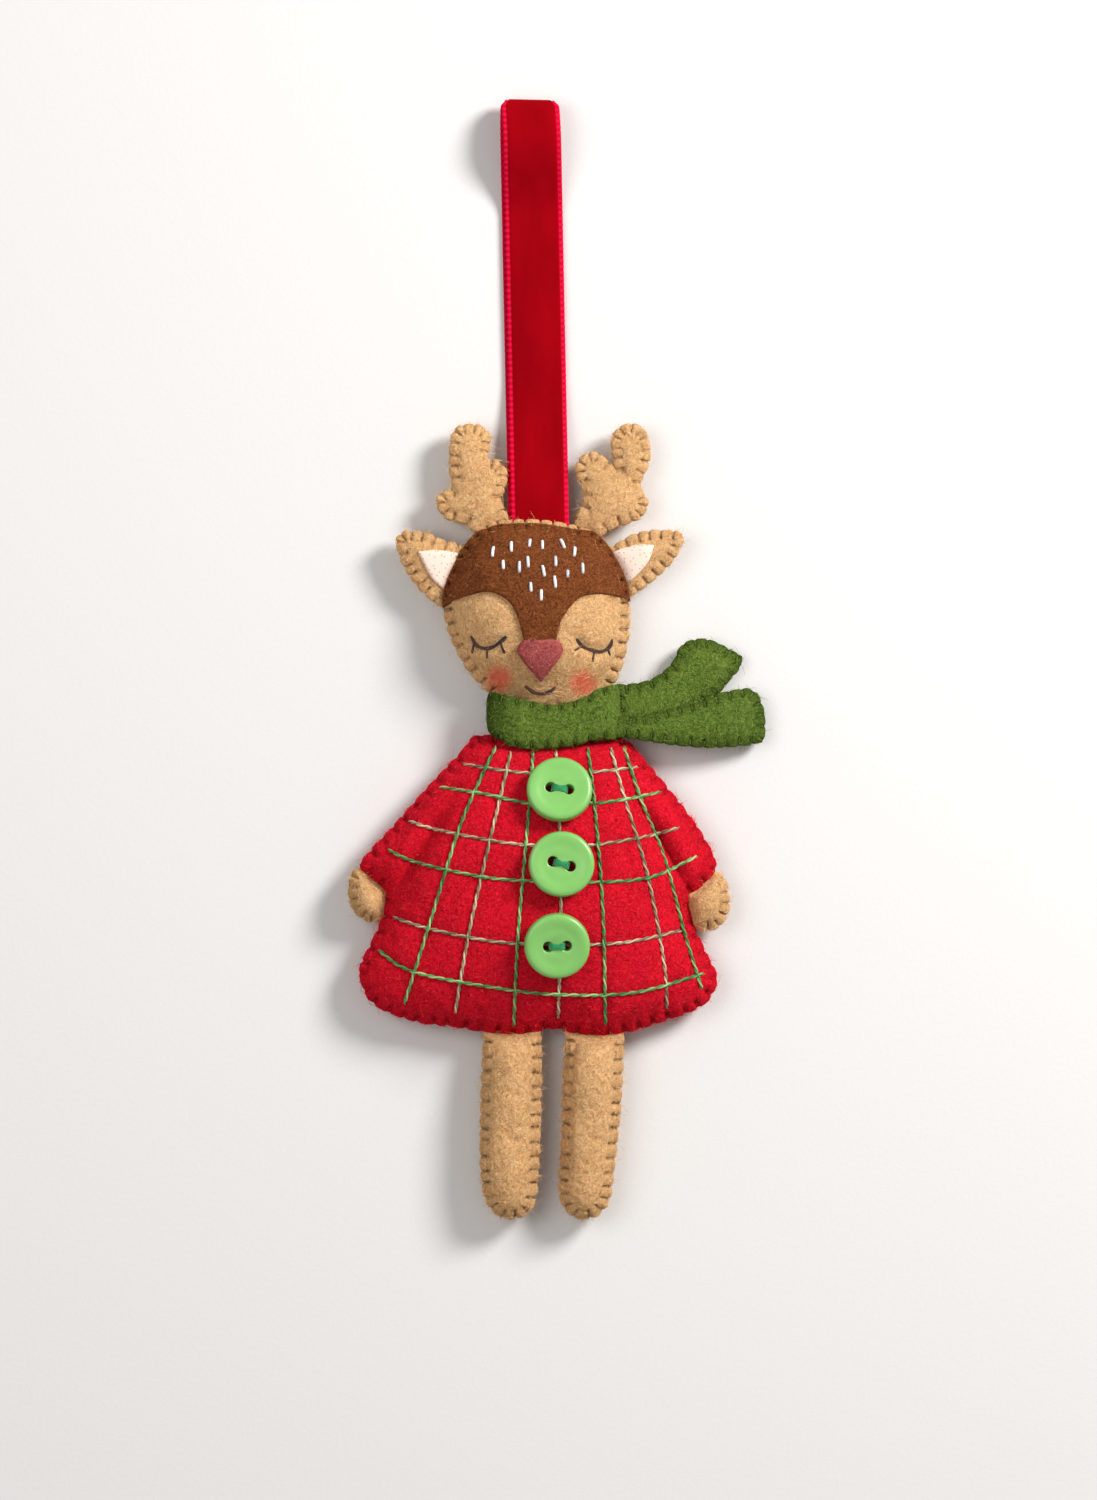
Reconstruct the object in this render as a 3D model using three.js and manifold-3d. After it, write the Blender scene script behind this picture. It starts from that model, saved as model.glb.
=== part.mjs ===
import * as THREE from "three";
import { mergeVertices } from "three/addons/utils/BufferGeometryUtils.js";
import Module from "manifold-3d";

const wasm = await Module();
wasm.setup();

// A stuffed felt doll that lies on its back and hangs from a ribbon loop. x runs to the viewer's
// right, y towards the ribbon and z up from the flat of the coat's back. Lengths are millimetres.

// Felt and sewing
const felt = 1.2;
const clearance = 0.3; // between pieces that touch
const turnClearance = 0.2; // between a square end that turns and what it turns beside
const seamWidth = 1.4; // flat edge that the blanket stitches hold
const seamHeight = 4.2; // where front and back felts meet, above the floor
const patchFelt = 0.8; // thin felt of the patches and inner ears
const restCut = 0.5; // depth to which the back is pressed flat
const fullness = 0.62; // exponent of the swell: less is fuller near the edge

// Coat, with the ends of the leg felts sewn inside its hem
const coatWidth = 63.2;
const coatLength = 53.2;
const coatSwell = 8.5;
const tabLength = 2.4;
const tabThickness = 1.1;

// Head and neck
const headWidth = 32.2;
const headLength = 37.3;
const headSwell = 7;
const neckSwell = 2.4;

// Ears, antlers and hands
const earWidth = 14.2;
const earLength = 14;
const earSwell = 1;
const antlerWidth = 12.3;
const antlerLength = 17.5;
const antlerSwell = 0.8;
const handWidth = 8;
const handLength = 8.8;
const handSwell = 2.6;
const handBackSwell = 1.4;

// Legs and their hinge at the hem
const legWidth = 10.3;
const legLength = 31.2;
const legSwell = 3.8;
const legPivotInset = 1; // of the hinge line below the leg's top

// Scarf: a band round the neck, and two tails that turn beside it
const bandWidth = 7;
const bandHeight = 4.1; // of the band's middle above the collar
const bandDroop = 2.3;
const bandFrontSquareness = 0.85; // exponents of its section: 1 is round, less is squarer
const bandBackSquareness = 0.25;
const tailPivotInset = 1.2; // of the hinge line past the tails' root
const tailHeight = 6;
const tailTipHeight = 1.75;
const upperTailLength = 19.8;
const lowerTailLength = 23.6;
const tailSpread = 10.15;

// Buttons
const buttonWidth = 11.4;
const buttonThickness = 2.4;
const buttonDish = 0.9;
const buttonRim = 1.9;
const holeWidth = 1.9;
const holeSpacing = 3.1;
const buttonThread = 0.9;

// Sewing threads that show
const threadWidth = 0.7;
const threadHeight = 0.45;
const threadGap = 0.2;
const stitchWidth = 0.55;

// Ribbon, folded in two with a soft loop at its far end
const ribbonWidth = 10;
const ribbonLength = 72.8;
const ribbonPly = 0.45;
const plyGap = 0.3;
const ribbonPivotInset = 0.5; // of the hinge line above the ribbon's root
const ribbonLean = -1.5;
const ribbonFloorGap = 0.05;
const ribbonDrop = 26; // length in which it comes down from the seam to the floor
const ribbonTabLength = 3;
const plySteps = 10;
const loopSteps = 8;
const loopHeight = 5.2;
const loopLength = 12;
const loopThroat = 14;

// Facets
const coatStep = 6;
const headStep = 4.6;
const legStep = 4.6;
const smallStep = 3;
const fineStep = 2.6;
const stitchStep = 1.2;
const plaidStep = 10;
const roundSegments = 20;
const bandSegments = 26;

// Outlines, as shares of each piece's width and length. Each list between corners is one curve,
// and the outline starts at its last point.
const coatOutlineShares = [
  [[-0.222, 0.503], [-0.258, 0.451], [-0.35, 0.336], [-0.443, 0.214], [-0.524, 0.109],
    [-0.535, 0.076], [-0.493, 0.03]],
  [[-0.463, -0.003]],
  [[-0.471, -0.072], [-0.496, -0.148], [-0.532, -0.234], [-0.537, -0.286], [-0.499, -0.372],
    [-0.385, -0.428], [-0.271, -0.447], [-0.18, -0.47], [-0.102, -0.479], [-0.044, -0.472],
    [0.006, -0.459], [0.064, -0.477], [0.125, -0.482], [0.191, -0.473], [0.324, -0.423],
    [0.427, -0.372], [0.463, -0.293], [0.438, -0.217], [0.404, -0.132], [0.385, -0.059]],
  [[0.382, -0.013]],
  [[0.424, 0.02], [0.46, 0.079], [0.432, 0.164], [0.374, 0.265], [0.288, 0.391],
    [0.211, 0.493], [0.183, 0.51]],
  [[-0.197, 0.51]],
];
const coatRidgeShares = [[0.007, 0.378], [0, -0.26]];
const collarShare = 0.51;
const hemShare = -0.479;

const headOutlineShares = [
  [[-0.334, 0.988], [-0.448, 0.913], [-0.546, 0.768], [-0.595, 0.631], [-0.565, 0.472],
    [-0.473, 0.315], [-0.351, 0.195]],
  [[-0.307, 0.138], [-0.302, 0]],
  [[0.302, 0]],
  [[0.304, 0.148], [0.318, 0.218], [0.361, 0.303], [0.402, 0.453], [0.402, 0.669],
    [0.315, 0.847], [0.218, 0.941], [0.11, 0.974], [-0.073, 1], [-0.226, 1]],
];
const headRidgeShares = [[-0.08, 0.4], [-0.08, 0.68]];
const headPlaceShare = 0.007; // of the coat's width
const ribbonPlaceShare = -0.073; // of the head's width
const neckHalfShare = 0.302;
const neckTopShare = 0.17;
const cheekShare = 0.44;

const earOutlineShares = {
  left: [
    [[0.321, 0.287], [0.154, 0.338], [-0.091, 0.412], [-0.337, 0.512], [-0.58, 0.537]],
    [[-0.679, 0.438], [-0.654, 0.275], [-0.568, 0.062], [-0.407, -0.163], [-0.21, -0.35],
      [0, -0.463]],
    [[0.321, -0.312]],
  ],
  right: [
    [[-0.272, 0.287], [-0.105, 0.35], [0.116, 0.475], [0.346, 0.537], [0.667, 0.537]],
    [[0.753, 0.463], [0.704, 0.312], [0.605, 0.15], [0.432, -0.025], [0.222, -0.188],
      [0, -0.325]],
    [[-0.272, -0.263]],
  ],
};
const innerEarOutlineShares = {
  left: [
    [[-0.173, 0.3], [0.08, 0.263]],
    [[0.012, 0.013], [-0.104, -0.188]],
    [[-0.259, -0.037], [-0.422, 0.281]],
  ],
  right: [
    [[0.019, 0.325], [0.222, 0.369], [0.399, 0.362]],
    [[0.321, 0.15], [0.16, -0.037], [0.025, -0.138]],
    [[-0.099, 0.062], [-0.13, 0.263]],
  ],
};
const earRidgeShares = { left: [[0.16, 0], [-0.333, 0.19]], right: [[-0.123, 0], [0.407, 0.21]] };
const earPlaceShares = { left: [-0.552, 0.749], right: [0.372, 0.749] }; // of the head

const antlerOutlineShares = {
  left: [
    [[0.243, 0.08], [0.143, 0.24], [0.2, 0.375], [0.229, 0.53], [0.086, 0.65]],
    [[-0.057, 0.65]],
    [[-0.014, 0.77], [-0.014, 0.9], [-0.171, 0.995], [-0.429, 0.985], [-0.543, 0.89],
      [-0.571, 0.71], [-0.571, 0.58], [-0.529, 0.37]],
    [[-0.686, 0.32], [-0.757, 0.23], [-0.643, 0.08], [-0.364, 0.02]],
    [[-0.171, -0.09]],
    [[0.243, -0.09]],
  ],
  right: [
    [[0.071, -0.14]],
    [[0.286, -0.03], [0.506, 0.025], [0.7, 0.09], [0.79, 0.23], [0.686, 0.36]],
    [[0.7, 0.46], [0.8, 0.61], [0.819, 0.77], [0.743, 0.94], [0.563, 1.01], [0.357, 0.95],
      [0.279, 0.81], [0.343, 0.54]],
    [[0.229, 0.63], [0.051, 0.72], [-0.143, 0.68], [-0.229, 0.554], [-0.143, 0.375],
      [-0.121, 0.23], [-0.229, 0.07]],
    [[-0.229, -0.14]],
  ],
};
const antlerPlaceShares = { left: [-0.345, 0.979], right: [0.209, 0.979] }; // of the head

const handOutlineShares = {
  left: [
    [[0.174, 0.24], [-0.174, 0.48], [-0.609, 0.52], [-0.739, 0.14], [-0.63, -0.26],
      [-0.304, -0.48], [0, -0.44]],
    [[0.261, -0.18]],
  ],
  right: [
    [[-0.087, 0.24], [-0.13, -0.14]],
    [[0.152, -0.56], [0.565, -0.59], [0.826, -0.32], [0.859, 0.08], [0.696, 0.48],
      [0.217, 0.52]],
  ],
};
const handRidgeShares = { left: [[0.087, -0.02], [-0.304, 0.06]], right: [[0.043, 0.1], [0.391, 0]] };
const handPlaceShares = { left: [-0.474, -0.02], right: [0.385, -0.026] }; // of the coat

const legOutlineShares = {
  left: [
    [[-0.475, 0]],
    [[-0.5, -0.199], [-0.525, -0.529], [-0.508, -0.759], [-0.407, -0.916], [-0.203, -0.986],
      [0, -1], [0.22, -0.978], [0.373, -0.91], [0.429, -0.759], [0.466, -0.507],
      [0.483, -0.193], [0.483, 0]],
  ],
  right: [
    [[-0.483, 0]],
    [[-0.525, -0.266], [-0.551, -0.591], [-0.588, -0.759], [-0.559, -0.899], [-0.39, -0.98],
      [-0.153, -1], [0.085, -0.972], [0.254, -0.882], [0.339, -0.681], [0.441, -0.345],
      [0.492, 0]],
  ],
};
const legRidgeShares = { left: [[0, -0.25], [0, -0.84]], right: [[-0.017, -0.25], [-0.153, -0.84]] };
const legPlaceShares = { left: -0.108, right: 0.119 }; // of the coat's width

const upperTailOutlineShares = [
  [[0, 0.44]],
  [[0.115, 0.466], [0.23, 0.534], [0.345, 0.69], [0.425, 0.879], [0.46, 1.052],
    [0.531, 1.179], [0.646, 1.229], [0.761, 1.179], [0.991, 0.931]],
  [[0.965, 0.724], [0.894, 0.552], [0.796, 0.31]],
  [[0.646, 0.052], [0.425, -0.19], [0.204, -0.276], [0, -0.276]],
];
const lowerTailOutlineShares = [
  [[0, -0.103]],
  [[0.096, -0.112], [0.222, -0.043], [0.474, 0.121], [0.696, 0.3], [0.874, 0.379]],
  [[0.948, 0.276], [0.993, 0], [1.003, -0.328], [0.989, -0.534]],
  [[0.837, -0.597], [0.622, -0.629], [0.43, -0.603], [0.207, -0.534], [0, -0.448]],
];

// The face, as shares of the head
const foreheadPatchShares = [
  [[-0.595, 0.594], [-0.505, 0.636], [-0.367, 0.664], [-0.269, 0.636], [-0.209, 0.575],
    [-0.166, 0.47]],
  [[0.024, 0.47]],
  [[0.046, 0.538], [0.133, 0.631], [0.236, 0.655], [0.356, 0.641], [0.47, 0.603]],
  [[0.47, 1.101]],
  [[-0.671, 1.101]],
  [[-0.671, 0.575]],
];
const nosePatchShares = [
  [[-0.117, 0.444], [-0.068, 0.43], [-0.019, 0.444], [0.024, 0.439]],
  [[0.052, 0.392], [0.014, 0.331], [-0.068, 0.242]],
  [[-0.16, 0.331], [-0.198, 0.392], [-0.166, 0.439]],
];
const eyeStitchShares = {
  left: [
    [[-0.451, 0.462], [-0.421, 0.418], [-0.361, 0.399], [-0.291, 0.427], [-0.253, 0.462]],
    [[-0.432, 0.432], [-0.443, 0.373]],
    [[-0.361, 0.401], [-0.361, 0.35]],
    [[-0.291, 0.43], [-0.264, 0.373]],
  ],
  right: [
    [[0.121, 0.45], [0.153, 0.413], [0.234, 0.385], [0.294, 0.399], [0.321, 0.446]],
    [[0.155, 0.412], [0.111, 0.387]],
    [[0.22, 0.39], [0.213, 0.334]],
    [[0.294, 0.4], [0.31, 0.364]],
  ],
};
const mouthStitchShares = [
  [[-0.16, 0.228], [-0.117, 0.2], [-0.062, 0.188], [-0.019, 0.2], [0.014, 0.223]],
];

// The coat's buttons and plaid threads, as shares of the coat
const buttonPlaceShares = { top: [0.026, 0.332], middle: [0.029, 0.088], bottom: [0.017, -0.182] };
const buttonTurns = { top: -9, middle: -16, bottom: 3 }; // degrees
const buttonEdgeShares = [[0.85, 0], [1, 0.4], [0.97, 0.75]];
const buttonFloorShare = 0.8;
const greenThreadShares = [
  [[-0.155, 0.477], [-0.202, 0.362], [-0.261, 0.197], [-0.339, -0.099], [-0.413, -0.372]],
  [[-0.054, 0.461], [-0.055, 0.4], [-0.073, 0.138], [-0.094, -0.148], [-0.106, -0.444]],
  [[0.101, 0.471], [0.122, 0.257], [0.143, -0.064], [0.151, -0.438]],
  [[0.202, 0.474], [0.249, 0.306], [0.317, 0.105], [0.371, -0.132], [0.421, -0.322]],
  [[-0.313, 0.342], [-0.187, 0.319], [-0.058, 0.289], [0.111, 0.289], [0.197, 0.3],
    [0.307, 0.326]],
  [[-0.457, 0.135], [-0.371, 0.092], [-0.187, 0.047], [-0.055, 0.035], [0.104, 0.03],
    [0.274, 0.046], [0.407, 0.115]],
  [[-0.485, -0.194], [-0.389, -0.263], [-0.158, -0.316], [0.025, -0.339], [0.233, -0.332],
    [0.427, -0.27]],
];
const beigeThreadShares = [
  [[-0.114, 0.459], [-0.144, 0.306], [-0.187, 0.095], [-0.233, -0.148], [-0.27, -0.401]],
  [[0.011, 0.459], [0.022, 0.214], [0.026, -0.049], [0.019, -0.418]],
  [[0.165, 0.47], [0.204, 0.306], [0.268, 0.054], [0.314, -0.234], [0.323, -0.385]],
  [[-0.249, 0.418], [-0.158, 0.4], [-0.058, 0.388], [0.111, 0.391], [0.241, 0.408]],
  [[-0.399, 0.23], [-0.321, 0.202], [-0.158, 0.165], [-0.044, 0.151], [0.104, 0.151],
    [0.268, 0.181], [0.357, 0.209]],
  [[-0.443, -0.086], [-0.343, -0.122], [-0.158, -0.164], [0.025, -0.174], [0.197, -0.168],
    [0.366, -0.128]],
];

// How far each ring of a stuffed felt lies on its way from the seam to the ridge
const coatRingShares = [0.1, 0.32, 0.7];
const headRingShares = [0.12, 0.35, 0.7];
const limbRingShares = [0.22, 0.65];
const smallRingShares = [0.5];

// Places that follow from the sizes
const sides = ["left", "right"];
const feltEdge = felt + clearance / 2; // from the seam to the outside of a felt's flat edge
const restSwell = seamHeight + restCut - feltEdge; // the back felts' swell
const turningGap = (pivotInset, half) => Math.hypot(pivotInset, half) - pivotInset + turnClearance;
const headX = headPlaceShare * coatWidth;
const headY = collarShare * coatLength + clearance;
const headTop = headY + headLength;
const hemY = hemShare * coatLength;
const legGap = turningGap(legPivotInset, feltEdge);
const legTop = hemY - legGap;
const neckHalf = neckHalfShare * headWidth;
const bandY = headY + bandHeight;
const bandInnerHalf = neckHalf + 2 * clearance;
const tailHalf = felt + clearance / 2; // of the two tails' thickness
const tailX = headX + bandInnerHalf + felt + turningGap(tailPivotInset, tailHalf);
const tailSlope = (tailHeight - tailTipHeight) / lowerTailLength;
const ribbonHalf = ribbonPly + plyGap / 2; // of the two plies' thickness
const ribbonGap = turningGap(ribbonPivotInset, ribbonHalf);
const ribbonY = headTop + ribbonGap;
const reach = coatLength + headLength + ribbonLength; // past the whole doll, for cutting tools

function curvePoints(shares, width, length, x, y, step) {
  const place = ([u, v]) => new THREE.Vector2(x + u * width, y + v * length);
  const curve = new THREE.SplineCurve(shares.map(place));
  return curve.getSpacedPoints(Math.max(1, Math.round(curve.getLength() / step)));
}

function closedOutline(stretches, width, length, x, y, step) {
  const points = [];
  let corner = stretches.at(-1).at(-1);
  for (const stretch of stretches) {
    points.push(...curvePoints([corner, ...stretch], width, length, x, y, step).slice(0, -1));
    corner = stretch.at(-1);
  }
  return THREE.ShapeUtils.isClockWise(points) ? points.reverse() : points;
}

// The outline moved outwards by a distance, or inwards by a negative one.
function grown(outline, distance) {
  return outline.map((point, i) => {
    const before = outline.at(i - 1);
    const after = outline[(i + 1) % outline.length];
    const along = after.clone().sub(before).normalize();
    return new THREE.Vector2(point.x + along.y * distance, point.y - along.x * distance);
  });
}

function nearestOnRidge(ridge, point) {
  const along = ridge[1].clone().sub(ridge[0]);
  const share = point.clone().sub(ridge[0]).dot(along) / along.lengthSq();
  return ridge[0].clone().lerp(ridge[1], THREE.MathUtils.clamp(share, 0, 1));
}

// Rings from the outline to the ridge: the cut edge, the stitched margin and the swell's rings.
function ringsToRidge(outline, ridge, ringShares) {
  const lines = outline.map((edge) => {
    const top = nearestOnRidge(ridge, edge);
    const margin = edge.clone().lerp(top, Math.min(seamWidth / edge.distanceTo(top), 0.5));
    return { edge, margin, top };
  });
  const ringAt = (share) => lines.map((line) => line.margin.clone().lerp(line.top, share));
  return {
    rings: [lines.map((line) => line.edge), ringAt(0), ...ringShares.map(ringAt)],
    rises: [0, 0, ...ringShares].map((share) => (1 - (1 - share) ** 2) ** fullness),
  };
}

function facing(positions, index) {
  const geometry = new THREE.BufferGeometry();
  geometry.setAttribute("position", new THREE.BufferAttribute(new Float32Array(positions), 3));
  geometry.setIndex(index);
  geometry.computeVertexNormals();
  return geometry;
}

// A closed solid between two height functions over a set of nested rings.
function slab(rings, topHeight, bottomHeight, firstRing = 0) {
  const used = rings.slice(firstRing);
  const count = used[0].length;
  const positions = [];
  for (const height of [topHeight, bottomHeight]) {
    used.forEach((ring, r) =>
      ring.forEach((point) => positions.push(point.x, point.y, height(r + firstRing, point))),
    );
  }
  const lower = used.length * count;
  const index = [];
  const quad = (a, b, c, d) => index.push(a, b, c, a, c, d);
  for (let i = 0; i < count; i++) {
    const j = (i + 1) % count;
    for (let r = 0; r + 1 < used.length; r++) {
      const outer = r * count;
      const inner = outer + count;
      quad(outer + i, outer + j, inner + j, inner + i);
      quad(lower + outer + i, lower + inner + i, lower + inner + j, lower + outer + j);
    }
    quad(lower + i, lower + j, j, i);
  }
  const innermost = (used.length - 1) * count;
  for (const [a, b, c] of THREE.ShapeUtils.triangulateShape(used.at(-1), [])) {
    index.push(innermost + a, innermost + b, innermost + c);
    index.push(lower + innermost + a, lower + innermost + c, lower + innermost + b);
  }
  return facing(positions, index);
}

// A loop of equal cross-sections, closed on itself or capped at both ends.
function sweep(sections, closed = false) {
  const count = sections[0].length;
  const positions = sections.flat().flatMap((point) => [point.x, point.y, point.z]);
  const index = [];
  const steps = closed ? sections.length : sections.length - 1;
  for (let s = 0; s < steps; s++) {
    const here = s * count;
    const next = ((s + 1) % sections.length) * count;
    for (let i = 0; i < count; i++) {
      const j = (i + 1) % count;
      index.push(here + i, here + j, next + j, here + i, next + j, next + i);
    }
  }
  const last = (sections.length - 1) * count;
  for (let i = 1; !closed && i + 1 < count; i++) {
    index.push(0, i + 1, i, last, last + i, last + i + 1);
  }
  return outwards(facing(positions, index));
}

function outwards(geometry) {
  const position = geometry.getAttribute("position");
  const [a, b, c] = [new THREE.Vector3(), new THREE.Vector3(), new THREE.Vector3()];
  const index = [...geometry.index.array];
  let volume = 0;
  for (let i = 0; i < index.length; i += 3) {
    a.fromBufferAttribute(position, index[i]);
    b.fromBufferAttribute(position, index[i + 1]);
    c.fromBufferAttribute(position, index[i + 2]);
    volume += a.dot(b.cross(c));
  }
  return volume < 0 ? facing(position.array, index.reverse()) : geometry;
}

function solidOf(geometry) {
  const bare = geometry.clone();
  bare.deleteAttribute("normal");
  bare.deleteAttribute("uv");
  const merged = mergeVertices(bare);
  return new wasm.Manifold(
    new wasm.Mesh({
      numProp: 3,
      vertProperties: merged.getAttribute("position").array,
      triVerts: new Uint32Array(merged.index.array),
    }),
  );
}

function geometryOf(solid) {
  const mesh = solid.getMesh();
  return facing(mesh.vertProperties, [...mesh.triVerts]);
}

const cut = (geometry, ...tools) =>
  geometryOf(tools.reduce((solid, tool) => solid.subtract(solidOf(tool)), solidOf(geometry)));
const joined = (geometries) =>
  geometryOf(geometries.map(solidOf).reduce((whole, solid) => whole.add(solid)));
const common = (geometry, other) => geometryOf(solidOf(geometry).intersect(solidOf(other)));

function prism(outline, bottom, top) {
  const shape = new THREE.Shape(outline);
  const geometry = new THREE.ExtrudeGeometry(shape, { depth: top - bottom, bevelEnabled: false });
  return geometry.translate(0, 0, bottom);
}

function block(low, high) {
  const size = high.clone().sub(low);
  const middle = high.clone().add(low).divideScalar(2);
  return new THREE.BoxGeometry(size.x, size.y, size.z).translate(middle.x, middle.y, middle.z);
}

// A front felt, a back felt and the filling between them, swelling from a flat stitched margin.
function stuffedForm({ shares, ridgeShares, width, length, x, y, step, ringShares, front, back }) {
  const outline = closedOutline(shares, width, length, x, y, step);
  const ridge = ridgeShares.map(([u, v]) => new THREE.Vector2(x + u * width, y + v * length));
  const frontSwell = typeof front === "function" ? front : () => front;
  const backSwell = typeof back === "function" ? back : () => back;
  const { rings, rises } = ringsToRidge(outline, ridge, ringShares);
  const heights = {
    frontOutside: (r, point) => seamHeight + feltEdge + frontSwell(point) * rises[r],
    backOutside: (r, point) => seamHeight - feltEdge - backSwell(point) * rises[r],
  };
  const frontInside = (r, point) => heights.frontOutside(r, point) - felt;
  const backInside = (r, point) => heights.backOutside(r, point) + felt;
  const fillingTop = (r, point) => frontInside(r, point) - clearance;
  const fillingBottom = (r, point) => backInside(r, point) + clearance;
  const wide = ringsToRidge(grown(outline, clearance), ridge, ringShares).rings;
  return {
    outline,
    rings,
    heights,
    frontFelt: slab(rings, heights.frontOutside, frontInside),
    backFelt: slab(rings, backInside, heights.backOutside),
    filling: slab(rings, fillingTop, fillingBottom, 2),
    envelope: (cover = 0) =>
      slab(
        wide,
        (r, point) => heights.frontOutside(r, point) + cover + clearance,
        (r, point) => heights.backOutside(r, point) - clearance,
      ),
  };
}

// What lies on a form's front: the shapes given in plan, out of a layer just above the front felt.
function laidOn(form, outlines, thickness, gap = clearance) {
  const bottom = (r, point) => form.heights.frontOutside(r, point) + gap;
  const top = (r, point) => bottom(r, point) + thickness;
  const shapes = outlines.map((outline) => prism(outline, 0, reach));
  return common(slab(form.rings, top, bottom), joined(shapes));
}

// The outline of a strip along a curve in plan.
function stripAlong(points, width) {
  const aside = points.map((point, i) => {
    const before = points[Math.max(i - 1, 0)];
    const after = points[Math.min(i + 1, points.length - 1)];
    const along = after.clone().sub(before).normalize();
    return new THREE.Vector2(along.y, -along.x).multiplyScalar(width / 2);
  });
  const right = points.map((point, i) => point.clone().add(aside[i]));
  const left = points.map((point, i) => point.clone().sub(aside[i]));
  return [...right, ...left.reverse()];
}

// The height of a form's front at a place, read from the facets that it is made of.
function frontHeight(form) {
  const geometry = form.frontFelt;
  const position = geometry.getAttribute("position");
  const index = geometry.index.array;
  const upper = position.count / 2;
  const corner = (k) => new THREE.Vector3().fromBufferAttribute(position, k);
  const faces = [];
  for (let i = 0; i < index.length; i += 3) {
    const ends = [index[i], index[i + 1], index[i + 2]];
    if (ends.every((k) => k < upper)) faces.push(new THREE.Triangle(...ends.map(corner)));
  }
  const flat = faces.map((face) =>
    new THREE.Triangle(...[face.a, face.b, face.c].map((p) => new THREE.Vector3(p.x, p.y, 0))),
  );
  const share = new THREE.Vector3();
  return (x, y) => {
    const point = new THREE.Vector3(x, y, 0);
    const found = flat.findIndex((face) => face.containsPoint(point));
    if (found < 0) return seamHeight + feltEdge;
    flat[found].getBarycoord(point, share);
    const face = faces[found];
    return face.a.z * share.x + face.b.z * share.y + face.c.z * share.z;
  };
}

// What the doll's back is pressed flat against
const floor = block(new THREE.Vector3(-reach, -reach, -reach), new THREE.Vector3(reach, reach, 0));

const colours = {
  redFelt: 0xc80f26,
  tanFelt: 0xd2a86c,
  brownFelt: 0x643716,
  greenFelt: 0x6c7d39,
  paleFelt: 0xf5e1d7,
  noseFelt: 0xb5524f,
  filling: 0xf2efe6,
  button: 0xa5d887,
  greenThread: 0x41af55,
  beigeThread: 0xc8b48c,
  darkThread: 0x3a2216,
  velvet: 0xb00014,
};
const roughnesses = { button: 0.35, velvet: 0.8 };
const root = new THREE.Group();

function add(name, geometry, finish, parent = root) {
  const material = new THREE.MeshStandardMaterial({
    color: colours[finish],
    roughness: roughnesses[finish] ?? 0.95,
    metalness: 0,
  });
  const mesh = new THREE.Mesh(geometry, material);
  mesh.name = name;
  parent.add(mesh);
  return mesh;
}

// Head, with its neck ending just above the collar
const swellShare = (point) =>
  THREE.MathUtils.smoothstep(point.y, headY + neckTopShare * headLength, headY + cheekShare * headLength);
const head = stuffedForm({
  shares: headOutlineShares,
  ridgeShares: headRidgeShares,
  width: headWidth,
  length: headLength,
  x: headX,
  y: headY,
  step: headStep,
  ringShares: headRingShares,
  front: (point) => THREE.MathUtils.lerp(neckSwell, headSwell, swellShare(point)),
  back: (point) => restSwell * swellShare(point),
});
const ribbonX = headX + ribbonPlaceShare * headWidth;
const ribbonEndsAt = (gap) => {
  const half = ribbonWidth / 2 + gap;
  const low = headTop - ribbonTabLength - gap;
  return block(
    new THREE.Vector3(ribbonX - half, low, seamHeight - ribbonHalf - gap),
    new THREE.Vector3(ribbonX + half, headTop + ribbonGap, seamHeight + ribbonHalf + gap),
  );
};
const ribbonSpace = ribbonEndsAt(clearance);
add("head_front_felt", cut(head.frontFelt, ribbonSpace), "tanFelt");
add("head_back_felt", cut(head.backFelt, ribbonSpace, floor), "tanFelt");
add("head_stuffing", cut(head.filling, ribbonSpace), "filling");
add("ribbon_ends", common(ribbonEndsAt(0), prism(head.outline, 0, reach)), "velvet");

// Face
const onHead = (shares) => curvePoints(shares, headWidth, headLength, headX, headY, stitchStep);
const outlineOnHead = (shares) => closedOutline(shares, headWidth, headLength, headX, headY, fineStep);
const noseOutline = outlineOnHead(nosePatchShares);
const noseSpace = prism(grown(noseOutline, clearance), 0, reach);
const foreheadPatch = laidOn(head, [outlineOnHead(foreheadPatchShares)], patchFelt);
add("forehead_patch", cut(foreheadPatch, noseSpace), "brownFelt");
add("nose_patch", laidOn(head, [noseOutline], patchFelt), "noseFelt");
const faceStitches = (curves) =>
  laidOn(head, curves.map((shares) => stripAlong(onHead(shares), stitchWidth)), threadHeight, threadGap);
for (const side of sides) {
  add(side + "_eye_stitches", faceStitches(eyeStitchShares[side]), "darkThread");
}
add("mouth_stitches", faceStitches(mouthStitchShares), "darkThread");

// Ears and antlers, sewn at the head's edge beside the forehead patch
const headSpace = head.envelope(clearance + patchFelt);
for (const side of sides) {
  const [u, v] = earPlaceShares[side];
  const place = [earWidth, earLength, headX + u * headWidth, headY + v * headLength];
  const [width, length, x, y] = place;
  const ear = stuffedForm({
    shares: earOutlineShares[side],
    ridgeShares: earRidgeShares[side],
    width,
    length,
    x,
    y,
    step: smallStep,
    ringShares: smallRingShares,
    front: earSwell,
    back: earSwell,
  });
  const inner = closedOutline(innerEarOutlineShares[side], ...place, smallStep);
  add(side + "_ear_front_felt", cut(ear.frontFelt, headSpace), "tanFelt");
  add(side + "_ear_back_felt", cut(ear.backFelt, headSpace), "tanFelt");
  add(side + "_inner_ear", cut(laidOn(ear, [inner], patchFelt), headSpace), "paleFelt");
}
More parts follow.
